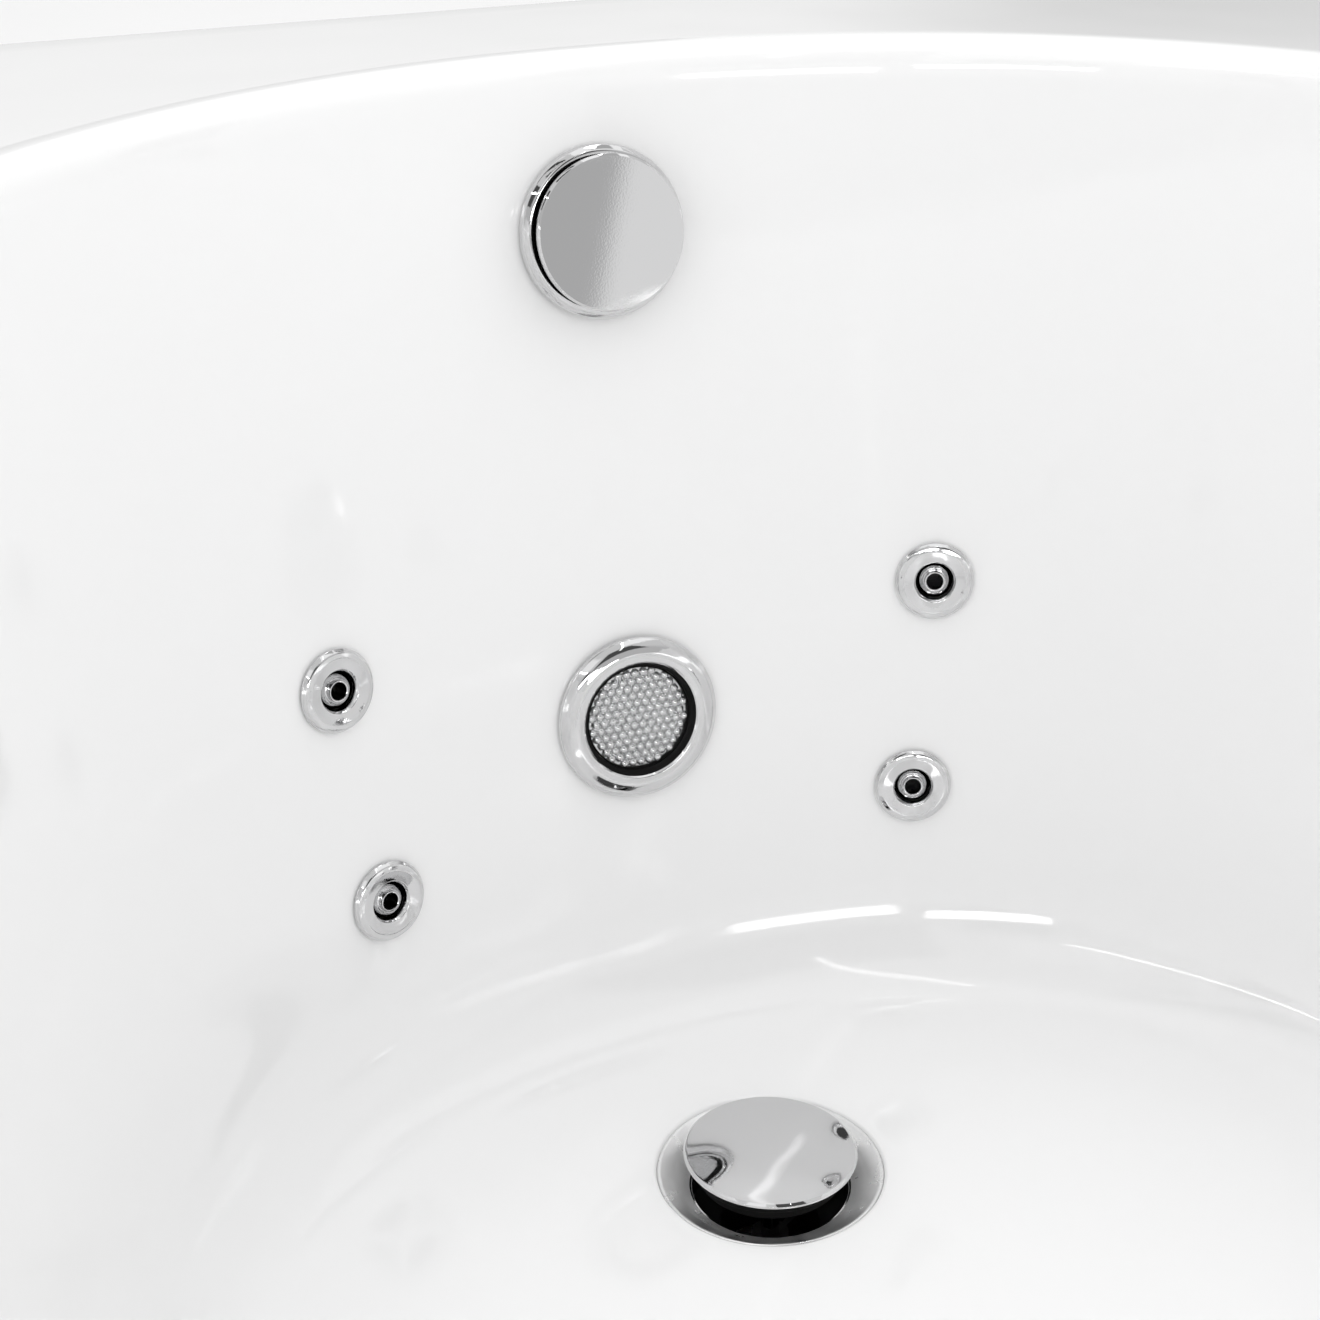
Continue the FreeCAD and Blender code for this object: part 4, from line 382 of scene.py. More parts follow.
# ================================================================ basin surface
zdeck, zref = 600.0, 176.5
slope = math.tan(math.radians(10.26))
tilt = math.radians(3.0)
drain_x, drain_z = -535.5, 181.0
thick = 6.0
RIM_LEG, WALL_LEG, FLOOR_LEG = 17.0, 86.0, 74.0


def plan(z):
    k = (zdeck - z) / (zdeck - zref)
    xf = -740.2 + slope * (zdeck - z)
    xh = 737.0 + (533.0 - 737.0) * k
    b = 372.0 + (297.0 - 372.0) * k
    a = (xh - xf) / 2
    return a, b, (xh + xf) / 2, 2 * a * 381.0 / b ** 2


def foot_x(y, z):
    a, b, xc, p = plan(z)
    return xc - a * (1 - (y / b) ** 2) ** (1 / p)


def side_y(x, z):
    a, b, xc, p = plan(z)
    return b * math.sqrt(1 - abs((x - xc) / a) ** p)


def foot_frame(y, z):
    e = 0.05
    gy = (foot_x(y + e, z) - foot_x(y - e, z)) / (2 * e)
    gz = (foot_x(y, z + e) - foot_x(y, z - e)) / (2 * e)
    return on_wall(Vector((foot_x(y, z), y, z)), Vector((1, -gy, -gz)))


def side_frame(x, z, s):
    e = 0.05
    gx = (side_y(x + e, z) - side_y(x - e, z)) / (2 * e)
    gz = (side_y(x, z + e) - side_y(x, z - e)) / (2 * e)
    return on_wall(Vector((x, s * side_y(x, z), z)), Vector((gx, -s, gz)))


def on_wall(p, n):
    n = n.normalized()
    x = Vector((0, 0, 1)).cross(n).normalized()
    y = n.cross(x)
    M = Matrix.Identity(4)
    for i, c in enumerate((x, y, n)):
        for j in range(3):
            M[j][i] = c[j]
    M.translation = p * MM
    return M


LEAN = math.radians(2.0)
M_OVER = foot_frame(0.0, 529.3)
n_over = M_OVER.col[2].to_3d()
M_OVER = on_wall(M_OVER.translation / MM, Vector((n_over.x * math.cos(LEAN) - n_over.z * math.sin(LEAN), 0, n_over.z * math.cos(LEAN) + n_over.x * math.sin(LEAN))))
M_LIGHT = foot_frame(0.0, 318.1)
M_JETS = [foot_frame(y, z) for y, z in ((-138.3, 368.4), (138.3, 368.4), (-126.3, 270.4), (126.3, 270.4))]
for s in (-1, 1):
    for x in (-200.0, 160.0):
        M_JETS.append(side_frame(x, 340.0, s))
M_SUCT = side_frame(-340.0, 338.0, 1)
M_AIR = Matrix.Translation(Vector((690.0, -320.0, 600.0)) * MM)
M_BUTTON = Matrix.Translation(Vector((600.0, -345.0, 600.0)) * MM)
M_DRAIN = Matrix.Translation(Vector((drain_x, 0, drain_z)) * MM) @ Matrix.Rotation(-tilt, 4, "Y")

N = 640
HALF = N // 2


def section(z):
    """Half the plan at a height, foot to head, in equal steps of arc length."""
    a, b, xc, p = plan(z)
    th = np.linspace(0, math.pi, 2401)
    cx, sy = -np.cos(th), np.sin(th)
    lo, hi = np.zeros_like(th), np.full_like(th, 2.0 * max(a, b))
    for _ in range(46):
        r = (lo + hi) / 2
        inside = np.abs(r * cx / a) ** p + (r * sy / b) ** 2 < 1
        lo = np.where(inside, r, lo)
        hi = np.where(inside, hi, r)
    X, Y = xc + r * cx, r * sy
    cum = np.concatenate([[0], np.cumsum(np.hypot(np.diff(X), np.diff(Y)))])
    s = cum[-1] * np.arange(HALF + 1) / HALF
    return np.interp(s, cum, X), np.interp(s, cum, Y)


LEVELS = 40
zs = np.linspace(140.0, zdeck + 10.0, LEVELS + 1)
SX = np.zeros((LEVELS + 1, HALF + 1))
SY = np.zeros((LEVELS + 1, HALF + 1))
for i, z in enumerate(zs):
    SX[i], SY[i] = section(z)
K = np.arange(HALF + 1)


def col(z):
    """Wall points of all columns, column k at height z[k]."""
    z = np.broadcast_to(np.asarray(z, float), (HALF + 1,))
    st = zs[1] - zs[0]
    i0 = np.clip(((z - zs[0]) / st).astype(int) - 1, 0, LEVELS - 3)
    x = np.zeros(HALF + 1)
    y = np.zeros(HALF + 1)
    for u in range(4):
        w = np.ones(HALF + 1)
        for v in range(4):
            if v != u:
                w *= (z - zs[i0 + v]) / (zs[i0 + u] - zs[i0 + v])
        x += w * SX[i0 + u, K]
        y += w * SY[i0 + u, K]
    y[0] = y[-1] = 0.0
    return np.stack([x, y, z], 1)


def dcol(z):
    d = (col(np.asarray(z) + 0.5) - col(np.asarray(z) - 0.5))
    return d / np.linalg.norm(d, axis=1)[:, None]


def unit(v):
    return v / np.linalg.norm(v, axis=-1, keepdims=True)


def along(rows):
    """Direction along the basin of each column of a half ring."""
    ext = np.vstack([rows[1:3][::-1] * [1, -1, 1], rows, rows[-3:-1][::-1] * [1, -1, 1]])
    t = (ext[3:-1] - ext[1:-3]) * 8 - (ext[4:] - ext[:-4])
    return unit(t)


UP = np.array([0.0, 0.0, 1.0])
NF = np.array([-math.sin(tilt), 0.0, math.cos(tilt)])


def floor_z(x):
    return drain_z + math.tan(tilt) * (x - drain_x)


top = col(zdeck)
tt = along(top)
out = np.cross(UP, tt)
out[:, 2] = 0
out = unit(out)
flip = np.sum(out[:, :2] * top[:, :2], 1) < 0
out[flip] *= -1
up0 = dcol(zdeck)
zr = zdeck - RIM_LEG * up0[:, 2]
pr = col(zr)
ur = dcol(zr)
zc = np.full(HALF + 1, floor_z(0.0))
for _ in range(40):
    zc = floor_z(col(zc)[:, 0])
pb = col(zc)
tb = along(pb)
mdir = unit(np.cross(NF, tb))
flip = np.sum(mdir * pb, 1) > 0
mdir[flip] *= -1
ub = dcol(zc)
zw = pb[:, 2] + WALL_LEG * ub[:, 2]
pw = col(zw)
uw = dcol(zw)


def bez(cp, t):
    n = len(cp) - 1
    p = 0
    for i in range(n + 1):
        p = p + cp[i] * (math.comb(n, i) * t ** i * (1 - t) ** (n - i))
    return p


rim_cp = [top + out * RIM_LEG, top + out * (0.62 * RIM_LEG), top + out * (0.24 * RIM_LEG),
          pr + ur * (0.76 * RIM_LEG), pr + ur * (0.38 * RIM_LEG), pr]
fil_cp = [pw, pw - uw * (0.38 * WALL_LEG), pw - uw * (0.76 * WALL_LEG),
          pb + mdir * (0.24 * FLOOR_LEG), pb + mdir * (0.62 * FLOOR_LEG), pb + mdir * FLOOR_LEG]


def wall_rows(n_rim, n_wall, n_fil):
    rows = []
    for t in np.linspace(0, 1, n_rim + 1):
        rows.append(bez(rim_cp, t))
    for t in np.linspace(0, 1, n_wall + 1)[1:-1]:
        rows.append(col(zr + (zw - zr) * t))
    for t in np.linspace(0, 1, n_fil + 1):
        rows.append(bez(fil_cp, t))
    return rows


def ring(half):
    return np.vstack([half, (half * [1, -1, 1])[1:-1][::-1]])


def normals(rows):
    """Outward (away from the basin) unit normals of full rings of points."""
    R = np.array(rows)
    du = np.roll(R, -1, 1) - np.roll(R, 1, 1)
    dv = np.zeros_like(R)
    dv[1:-1] = R[2:] - R[:-2]
    dv[0] = R[1] - R[0]
    dv[-1] = R[-1] - R[-2]
    n = unit(np.cross(du, dv))
    ref = R.copy()
    ref[..., 2] = -400
    ref[..., :2] = R[..., :2]
    s = np.sum(n * ref, -1) < 0
    n[s] *= -1
    n[0] = [0, 0, -1]
    n[-1] = -NF
    return n


def drain_ring(r, z):
    """Ring about the waste in the floor's frame, its points facing the basin's columns."""
    m = np.array(M_DRAIN)
    base = ring(fil_cp[-1])
    d = base - np.array([drain_x, 0, drain_z])
    lx = d @ m[:3, 0]
    ly = d @ m[:3, 1]
    a = np.arctan2(ly, lx)
    p = np.stack([r * np.cos(a), r * np.sin(a), np.full(N, z)], 1)
    return p @ m[:3, :3].T + np.array([drain_x, 0, drain_z])


def rect_ring(lx, ly, r, z, inset=0.0):
    """Rounded rectangle whose points face the columns of the rim."""
    hx, hy = lx / 2 - inset, ly / 2 - inset
    r = max(r - inset, 0.5)
    base = ring(rim_cp[0])
    pts = np.zeros((N, 3))
    # the ray from the point's own station on a spine keeps the spacing even
    for i, (x, y, _) in enumerate(base):
        sx = max(-1.0, min(1.0, x / 560.0)) * (hx - hy)
        d = np.array([x - sx, y])
        d /= np.linalg.norm(d)
        t = 1e9
        if abs(d[0]) > 1e-9:
            t = min(t, ((hx if d[0] > 0 else -hx) - sx) / d[0])
        if abs(d[1]) > 1e-9:
            t = min(t, (hy if d[1] > 0 else -hy) / d[1])
        p = np.array([sx, 0]) + d * t
        cx, cy = hx - r, hy - r
        if abs(p[0]) > cx and abs(p[1]) > cy:
            c = np.array([math.copysign(cx, p[0]), math.copysign(cy, p[1])])
            o = np.array([sx, 0]) - c
            bq = float(np.dot(o, d))
            cq = float(np.dot(o, o)) - r * r
            tt_ = -bq + math.sqrt(max(bq * bq - cq, 0.0))
            p = np.array([sx, 0]) + d * tt_
        pts[i] = (p[0], p[1], z)
    return pts


def blend_rows(a, b, n, power=1.0):
    return [a + (b - a) * (k / n) ** power for k in range(1, n)]


inner = [ring(r) for r in wall_rows(18, 40, 40)]
fl_out = inner[-1]
fl_in = drain_ring(49.4, 0.0)
loops, kind = [], []


def add(rows, k):
    for r in rows:
        loops.append(r)
        kind.append(k)


# the loops start in the waste hole on the show side, run up to the deck and back underneath
add([drain_ring(36.0, -16.5), drain_ring(36.0, -10.8), drain_ring(36.6, -9.9), drain_ring(45.6, -3.5), drain_ring(47.2, -2.6), drain_ring(47.58, -2.1),
     drain_ring(47.6, -1.2), drain_ring(47.9, -0.6), drain_ring(48.6, -0.16)], 0)
add([fl_in], 0)
add([fl_in + (fl_out - fl_in) * t for t in np.linspace(0, 1, 22)[1:-1]], 0)
add(inner[::-1], 0)
deck_in = inner[0]
EDGE = 5.5
edge = []
for k in range(9):
    a = math.pi / 2 * k / 8
    edge.append(rect_ring(1700, 850, 30, zdeck - EDGE + EDGE * math.cos(a), EDGE - EDGE * math.sin(a)))
add([deck_in + (edge[0] - deck_in) * t for t in np.linspace(0, 1, 8)[1:-1]], 0)
add(edge, 0)
add([rect_ring(1700, 850, 30, z) for z in (585.0, 575.0, 566.0)], 0)
add([rect_ring(1700, 850, 30, 559.6), rect_ring(1700, 850, 30, 558.4, 0.5), rect_ring(1700, 850, 30, 558.0, 1.6)], 0)
add([rect_ring(1700, 850, 30, 558.0, 4.4), rect_ring(1700, 850, 30, 558.6, 5.6), rect_ring(1700, 850, 30, 560.0, 6.0)], 1)
add([rect_ring(1700, 850, 30, z, 6.0) for z in (570.0, 580.0, 590.0)], 1)
add([rect_ring(1700, 850, 30, 593.4, 6.6)], 1)
back = [ring(r) for r in wall_rows(6, 16, 14)]
nb = normals(back)
back_o = [b + n * thick for b, n in zip(back, nb)]
under = rect_ring(1700, 850, 30, 594.0, 8.0)
add([under], 1)
add([under + (back_o[0] - under) * t for t in np.linspace(0, 1, 6)[1:-1]], 1)
add(back_o, 1)
fo = back_o[-1]
bi = drain_ring(58.0, -thick)
add([fo + (bi - fo) * t for t in np.linspace(0, 1, 8)[1:-1]], 1)
add([bi, drain_ring(56.2, -7.0), drain_ring(56.0, -9.0), drain_ring(56.0, -15.9), drain_ring(55.4, -16.5), drain_ring(44.0, -16.5)], 1)

L = len(loops)
V = np.vstack(loops) * MM
idx = np.arange(L * N).reshape(L, N)
nxt = np.roll(idx, -1, 1)
F, SL = [], []
for r in range(L):
    q = (r + 1) % L
    quad = np.stack([idx[r], nxt[r], nxt[q], idx[q]], 1)
    F.append(quad)
    SL += [kind[r] if r + 1 < L else 1] * N
tub = mesh_object("tub_acrylic_shell", V, np.vstack(F), [MAT["acrylic"], MAT["fibre"]], SL)
outward(tub)


def cylinder(name, r, z0, z1, M, seg=96):
    prof = [(0, z1), (r, z1), (r, z0), (0, z0)]
    v, f = lathe_data(prof, seg, closed=False)
    o = mesh_object(name, placed(M, v), f, [MAT["acrylic"]])
    outward(o)
    return o


cutters = [cylinder("cut_over", 29.5, -20, 20, M_OVER), cylinder("cut_light", 24.6, -20, 20, M_LIGHT),
           cylinder("cut_suct", 30.5, -20, 20, M_SUCT), cylinder("cut_air", 16.5, -20, 20, M_AIR),
           cylinder("cut_button", 14.5, -20, 20, M_BUTTON)]
cutters += [cylinder("cut_jet_%d" % i, 12.0, -20, 20, m, 64) for i, m in enumerate(M_JETS)]
bm = bmesh.new()
for c in cutters:
    bm.from_mesh(c.data)
tool = mesh_object("cut_tool", [(0, 0, 0)], [], [])
bm.to_mesh(tool.data)
bm.free()
for c in cutters:
    bpy.data.objects.remove(c)
mod = tub.modifiers.new("holes", "BOOLEAN")
mod.operation = "DIFFERENCE"
mod.solver = "EXACT"
mod.object = tool
dg = bpy.context.evaluated_depsgraph_get()
done = bpy.data.meshes.new_from_object(tub.evaluated_get(dg))
tub.modifiers.clear()
tub.data = done
bpy.data.objects.remove(tool)
tub.data.polygons.foreach_set("use_smooth", [True] * len(tub.data.polygons))
sharp(tub, 34)
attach(tub, "tub")
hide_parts("tub_shell")


# ================================================================ overflow
R1, RK, KT = 35.9, 31.9, 16.6
ring_prof = rounded([(29.0, 2.3), (35.2, 2.3), (35.9, 4.0), (35.5, 6.8), (33.2, 9.2), (31.0, 9.3), (29.4, 7.6), (28.9, 5.0)],
                    [0.2, 0.5, 1.5, 2.2, 1.6, 1.2, 1.5, 0.3], 6, closed=True)
# painted shade: the bezel's inner faces around the knob take the near-black, standing in for the shade in the gap
two_tone("overflow_bezel", ring_prof, M_OVER, [MAT["chrome"], MAT["dark"]], lambda r, z: r < 30.9 and z < 8.9, "tub", ["overflow_ring"], True)
knob_prof = [(0, KT)] + rounded([(RK - 0.9, KT), (RK - 0.9, KT), (RK, KT - 0.85), (RK, KT - 2.6), (RK - 0.8, KT - 3.2), (14.0, KT - 3.2),
                                 (11.0, KT - 5.2), (11.0, 2.0), (4.0, 2.0), (4.0, -33.0)], [0, 0.1, 0.12, 0.3, 0.3, 0.5, 1.5, 0.4, 0.2, 0], 4) + [(0, -33.0)]
# painted shade: the knob's underside and stem below the cap take the near-black
two_tone("overflow_disc", knob_prof, M_OVER, [MAT["mirror"], MAT["dark"]], lambda r, z: z < KT - 2.9, "knob", ["overflow_knob"])


# ================================================================ light
RL, LR = 37.6, 21.4
bez_prof = rounded([(24.4, 2.1), (36.9, 2.1), (37.6, 2.8), (37.5, 4.6), (34.6, 7.2), (30.6, 8.5), (27.3, 8.2), (26.5, 7.4), (25.0, 5.0), (24.4, 4.5)],
                   [0.2, 0.3, 0.6, 2.4, 6.0, 6.0, 0.8, 0.2, 0.4, 0.2], 8, closed=True)
# painted shade: the bezel's inner bevel around the lens takes the near-black as a dark ring
two_tone("light_flange", bez_prof, M_LIGHT, [MAT["chrome"], MAT["dark"]], lambda r, z: r < 26.5 and 2.2 < z < 7.35, "tub", ["light_bezel"], True, 192)
cup = rounded([(21.5, 4.3), (24.2, 4.3), (24.2, -44.0), (7.0, -44.0), (7.0, -50.0), (0, -50.0), (0, -41.0), (20.0, -41.0), (20.0, -8.1), (21.5, -8.1)],
              [0.3, 0.3, 0.8, 0.8, 0.8, 0, 0, 0.5, 0, 0], 3, closed=True)
cup = [p for p in cup]
# painted shade: the lamp cup's walls and floor behind the lens take the near-black; only the reflector disc is mirror
v1, f1 = lathe_data(rounded([(0.0, -41.0), (20.0, -41.0), (20.0, -8.15), (23.6, -8.05), (23.6, 4.2), (23.7, 4.4), (23.9, 4.4), (24.2, 4.1), (24.2, -44.0),
                             (7.0, -44.0), (7.0, -50.0), (0.0, -50.0)], 0), 128, closed=False)
v2, f2 = lathe_data([(0, -10.4), (19.8, -10.4), (19.8, -12.0), (0, -12.0)], 96, closed=False)
joined("light_cup", [(placed(M_LIGHT, v1), f1, 0), (placed(M_LIGHT, v2), f2, 1)], [MAT["dark"], MAT["mirror"]], "tub", ["light_housing"])


def beaded_lens(radius, pitch, z_base, height, edge_z, bottom):
    """Round lens whose face is packed with small round beads."""
    step = 0.30
    rings = int(radius / step)
    pts = [(0.0, 0.0)]
    tri_rings = [[0]]
    for k in range(1, rings + 1):
        r = radius * k / rings
        m = max(6, int(2 * math.pi * r / step / 1.0))
        tri_rings.append(list(range(len(pts), len(pts) + m)))
        pts += [(r * math.cos(2 * math.pi * i / m), r * math.sin(2 * math.pi * i / m)) for i in range(m)]
    P = np.array(pts)
    cent = []
    n = int(radius / pitch) + 2
    for j in range(-n, n + 1):
        for i in range(-n, n + 1):
            c = np.array([(i + 0.5 * (j % 2)) * pitch, j * pitch * math.sqrt(3) / 2])
            if np.hypot(*c) < radius - pitch * 0.28:
                cent.append(c)
    cent = np.array(cent)
    d = np.min(np.hypot(P[:, None, 0] - cent[None, :, 0], P[:, None, 1] - cent[None, :, 1]), 1)
    rb = pitch * 0.5
    h = np.where(d < rb, height * np.sqrt(np.clip(1 - (d / rb) ** 2, 0, 1)), 0.0)
    Z = z_base + h
    verts = [(p[0], p[1], z) for p, z in zip(P, Z)]
    faces = []
    for a, b in zip(tri_rings[:-1], tri_rings[1:]):
        na, nb_ = len(a), len(b)
        if na == 1:
            faces += [(a[0], b[i], b[(i + 1) % nb_]) for i in range(nb_)]
            continue
        i = j = 0
        while i < na or j < nb_:
            if j < nb_ and (i >= na or (j + 1) / nb_ <= (i + 1) / na):
                faces.append((a[i % na], b[j % nb_], b[(j + 1) % nb_]))
                j += 1
            else:
                faces.append((a[i % na], b[j % nb_], a[(i + 1) % na]))
                i += 1
    rim_ids = tri_rings[-1]
    m = len(rim_ids)
    base = len(verts)
    for zz, rr in ((edge_z, radius), (bottom, radius)):
        verts += [(rr * math.cos(2 * math.pi * i / m), rr * math.sin(2 * math.pi * i / m), zz) for i in range(m)]
    r0 = rim_ids
    r1 = list(range(base, base + m))
    r2 = list(range(base + m, base + 2 * m))
    for a, b in ((r0, r1), (r1, r2)):
        faces += [(a[i], b[i], b[(i + 1) % m], a[(i + 1) % m]) for i in range(m)]
    verts.append((0, 0, bottom))
    cidx = len(verts) - 1
    faces += [(r2[(i + 1) % m], r2[i], cidx) for i in range(m)]
    return np.array(verts), faces


lens_m, lnt, lb = new_mat("beaded_lens", (0.93, 0.935, 0.94), 0.02)
lb.inputs["Metallic"].default_value = 0.5
lb.inputs["Transmission Weight"].default_value = 0.96
lb.inputs["IOR"].default_value = 1.58
lb.inputs["Coat Weight"].default_value = 1.0
lb.inputs["Coat Roughness"].default_value = 0.02
lv = coords(lnt)
bump(lnt, lb, noise(lnt, lv, 900.0, 2.0), 0.00001)
lnt.links.new(remap(lnt, noise(lnt, lv, 150.0, 3.0), 0.01, 0.04, 0.3, 0.7), lb.inputs["Roughness"])
v, f = beaded_lens(23.4, 4.0, 2.8, 1.95, 0.0, -8.0)
joined("light_bead_lens", [(placed(M_LIGHT, v), f, 0)], [lens_m], "tub", ["light_lens"], 60)


# ================================================================ jets
RJ = 17.8
trim_prof = rounded([(8.6, 0.8), (8.6, 2.4), (9.4, 3.7), (14.2, 4.4), (16.4, 3.9), (17.8, 2.2), (17.6, 1.0), (16.6, 0.7), (11.4, 0.7), (11.4, -14.0), (9.9, -14.0), (9.9, -2.0)],
                    [0.3, 0.5, 0.5, 2.0, 1.6, 0.6, 0.4, 0.2, 0.1, 0.2, 0.2, 0.2], 5, closed=True)
lathe("jet_flanges", trim_prof, M_JETS[0], MAT["chrome"], "tub", ["jet_trims"], 112, extra=[(trim_prof, m) for m in M_JETS[1:]])
BC = -5.0
ballp = []
a0, a1 = math.radians(-62), math.radians(46)
for i in range(15):
    a = a0 + (a1 - a0) * i / 14
    ballp.append((9.0 * math.cos(a), BC + 9.0 * math.sin(a)))
ballp += [(5.7, 0.6), (5.0, 0.2), (4.62, 0.5), (4.6, 2.6), (4.45, 2.95), (4.1, 3.0), (3.85, 2.8), (3.8, 2.3), (3.8, -13.0)]
for i, m in enumerate(M_JETS):
    lathe("jet_nozzle_%d" % (i + 1), ballp, m, MAT["chrome"], "jet_%d" % (i + 1), ["jet_ball_%d" % (i + 1)], 96, 40)


# ================================================================ waste
RF, RB, RP, PT = 47.5, 32.6, 36.4, 9.7
fl_prof = rounded([(RB, -9.4), (RB + 0.5, -8.75), (RB + 1.4, -8.3), (40.5, -4.6), (RF - 1.4, -0.85), (RF - 0.4, -0.65), (RF, -1.1), (RF, -1.7),
                   (RF - 1.3, -2.4), (RB + 2.8, -9.9), (RB + 2.8, -21.5), (25.0, -31.0), (25.0, -48.0), (21.6, -48.0), (21.6, -30.0), (RB, -20.0)],
                  [0.2, 0.5, 0.8, 9.0, 1.2, 0.4, 0.3, 0.2, 0.3, 0.3, 0.3, 0.3, 0.3, 0.3, 0.3, 0.3], 5, closed=True)
va, fa = lathe_data(fl_prof, 192)
# painted shade: the bore faces of the waste below the rim take the near-black, standing in for the dark hole
throat = [q for q in fa if va[list(q)].mean(0)[2] < -9.3 and np.hypot(va[q[0]][0], va[q[0]][1]) < RB + 0.3]
rimmed = [q for q in fa if -9.3 <= va[list(q)].mean(0)[2] < -8.5 and np.hypot(va[q[0]][0], va[q[0]][1]) < RB + 1.0]
picked = set(map(tuple, throat)) | set(map(tuple, rimmed))
parts = [(placed(M_DRAIN, va), [q for q in fa if tuple(q) not in picked], 0), (placed(M_DRAIN, va), throat, 1), (placed(M_DRAIN, va), rimmed, 2)]
vh, fh = lathe_data([(4.06, -46.0), (8.0, -46.0), (8.0, -34.0), (4.06, -34.0)], 48)
parts.append((placed(M_DRAIN, vh), fh, 1))
for i in range(3):
    c, s_ = math.cos(math.radians(120 * i)), math.sin(math.radians(120 * i))
    bx = []
    for zz in (-46.0, -37.0):
        for px_, py_ in ((7.6, -1.5), (22.6, -1.5), (22.6, 1.5), (7.6, 1.5)):
            bx.append((px_ * c - py_ * s_, px_ * s_ + py_ * c, zz))
    parts.append((placed(M_DRAIN, np.array(bx)), [(0, 3, 2, 1), (4, 5, 6, 7), (0, 1, 5, 4), (1, 2, 6, 5), (2, 3, 7, 6), (3, 0, 4, 7)], 1))
waste_flange = joined("waste_flange", parts, [MAT["brushed"], MAT["dark"], MAT["chrome"]], "tub", ["drain_flange"], merge=True)
DOME, TIP = 350.0, 0.02


def tipped(data, lo=-20.0, hi=-19.0):
    """The plug hangs loosely in its guide, so its head sits a degree off level."""
    v, f = data
    w = np.array(v, dtype=float)
    w[:, 2] -= TIP * w[:, 1] * np.clip((w[:, 2] - lo) / (hi - lo), 0.0, 1.0)
    return w, f


plug_prof = [(r_, PT + 1.75 - DOME + math.sqrt(DOME ** 2 - r_ ** 2)) for r_ in np.linspace(0, 34.6, 16)] + rounded([(RP - 1.0, PT), (RP - 1.0, PT), (RP, PT - 0.9), (RP, PT - 1.75), (RP - 0.6, PT - 2.2), (4.0, PT - 2.2), (4.0, -59.0), (3.0, -60.0)],
                                [0, 0.1, 0.12, 0.2, 0.2, 0.1, 0.3, 0], 4) + [(0, -60.0)]
v, f = tipped(lathe_data(plug_prof, 192, closed=False))
joined("plug_disc", [(placed(M_DRAIN, v), f, 0)], [MAT["mirror"]], "plug", ["plug_cap"])
seal_prof = rounded([(4.05, PT - 2.25), (RP - 2.2, PT - 2.25), (RP - 2.0, PT - 5.0), (RP - 3.0, PT - 5.6), (RP - 5.6, PT - 6.4), (RP - 5.6, PT - 11.0), (26.0, PT - 13.0), (4.05, PT - 13.0)],
                    [0, 0.2, 0.8, 0.4, 0.8, 0.6, 0.6, 0], 4, closed=True)
v, f = tipped(lathe_data(seal_prof, 128, closed=True), PT - 4.6, PT - 2.6)
# the seal is black rubber, given the near-black instead of the rubber so it also carries painted shade under the plug
joined("plug_skirt", [(placed(M_DRAIN, v), f, 0)], [MAT["dark"]], "plug", ["plug_seal"])


# ================================================================ deck controls
def ridged(profile, seg, lobes, depth, z_lo, z_hi):
    """A turned outline whose side carries grip ribs between two heights."""
    v, f = lathe_data(profile, seg, closed=False)
    r = np.hypot(v[:, 0], v[:, 1])
    a = np.arctan2(v[:, 1], v[:, 0])
    w = np.clip((v[:, 2] - z_lo) / 1.5, 0, 1) * np.clip((z_hi - v[:, 2]) / 1.5, 0, 1) * (r > 13.0)
    k = 1 - depth * w * (0.5 + 0.5 * np.cos(a * lobes)) / np.maximum(r, 1)
    v[:, 0] *= k
    v[:, 1] *= k
    return v, f


air_body = rounded([(12.06, 3.0), (17.0, 3.0), (25.4, 2.5), (26.0, 1.4), (25.8, 0.35), (16.0, 0.35), (16.0, -34.0), (6.0, -34.0), (6.0, -56.0), (0, -56.0), (0, -30.0), (12.06, -30.0)],
                   [0.4, 0.6, 0.8, 0.6, 0.3, 0, 0.4, 0.4, 0.4, 0, 0, 0.2], 4, closed=True)
air_body = [(12.06, -30.0), (12.06, 2.6), (12.5, 3.0), (17.0, 3.0), (24.6, 2.7), (25.6, 2.2), (26.0, 1.4), (25.9, 0.6), (25.6, 0.35), (16.0, 0.35), (16.0, -33.6), (15.6, -34.0),
            (6.0, -34.0), (6.0, -56.0), (3.0, -56.0), (3.0, -34.0)]
lathe("air_base", air_body, M_AIR, MAT["chrome"], "tub", ["air_control_body"], 128)
kp = [(0, 19.0)] + rounded([(13.0, 18.6), (13.0, 18.6), (16.4, 17.6), (18.0, 15.4), (18.9, 10.5), (19.9, 5.2), (19.4, 4.5), (12.0, 3.4), (12.0, -20.0)], [0, 1, 1.2, 1.0, 2.0, 0.4, 0.3, 0.2, 0], 5) + [(0, -20.0)]
kp2 = []
for p, q_ in zip(kp[:-1], kp[1:]):
    kp2.append(p)
    if abs(p[1] - q_[1]) > 1.2 and min(p[0], q_[0]) > 14:
        n_ = int(abs(p[1] - q_[1]) / 0.8)
        for k in range(1, n_):
            kp2.append((p[0] + (q_[0] - p[0]) * k / n_, p[1] + (q_[1] - p[1]) * k / n_))
kp2.append(kp[-1])
v, f = ridged(kp2, 288, 24, 0.9, 5.4, 16.6)
joined("air_knob_cap", [(placed(M_AIR, v), f, 0)], [MAT["chrome"]], "air_knob", ["air_control_knob"], 40)
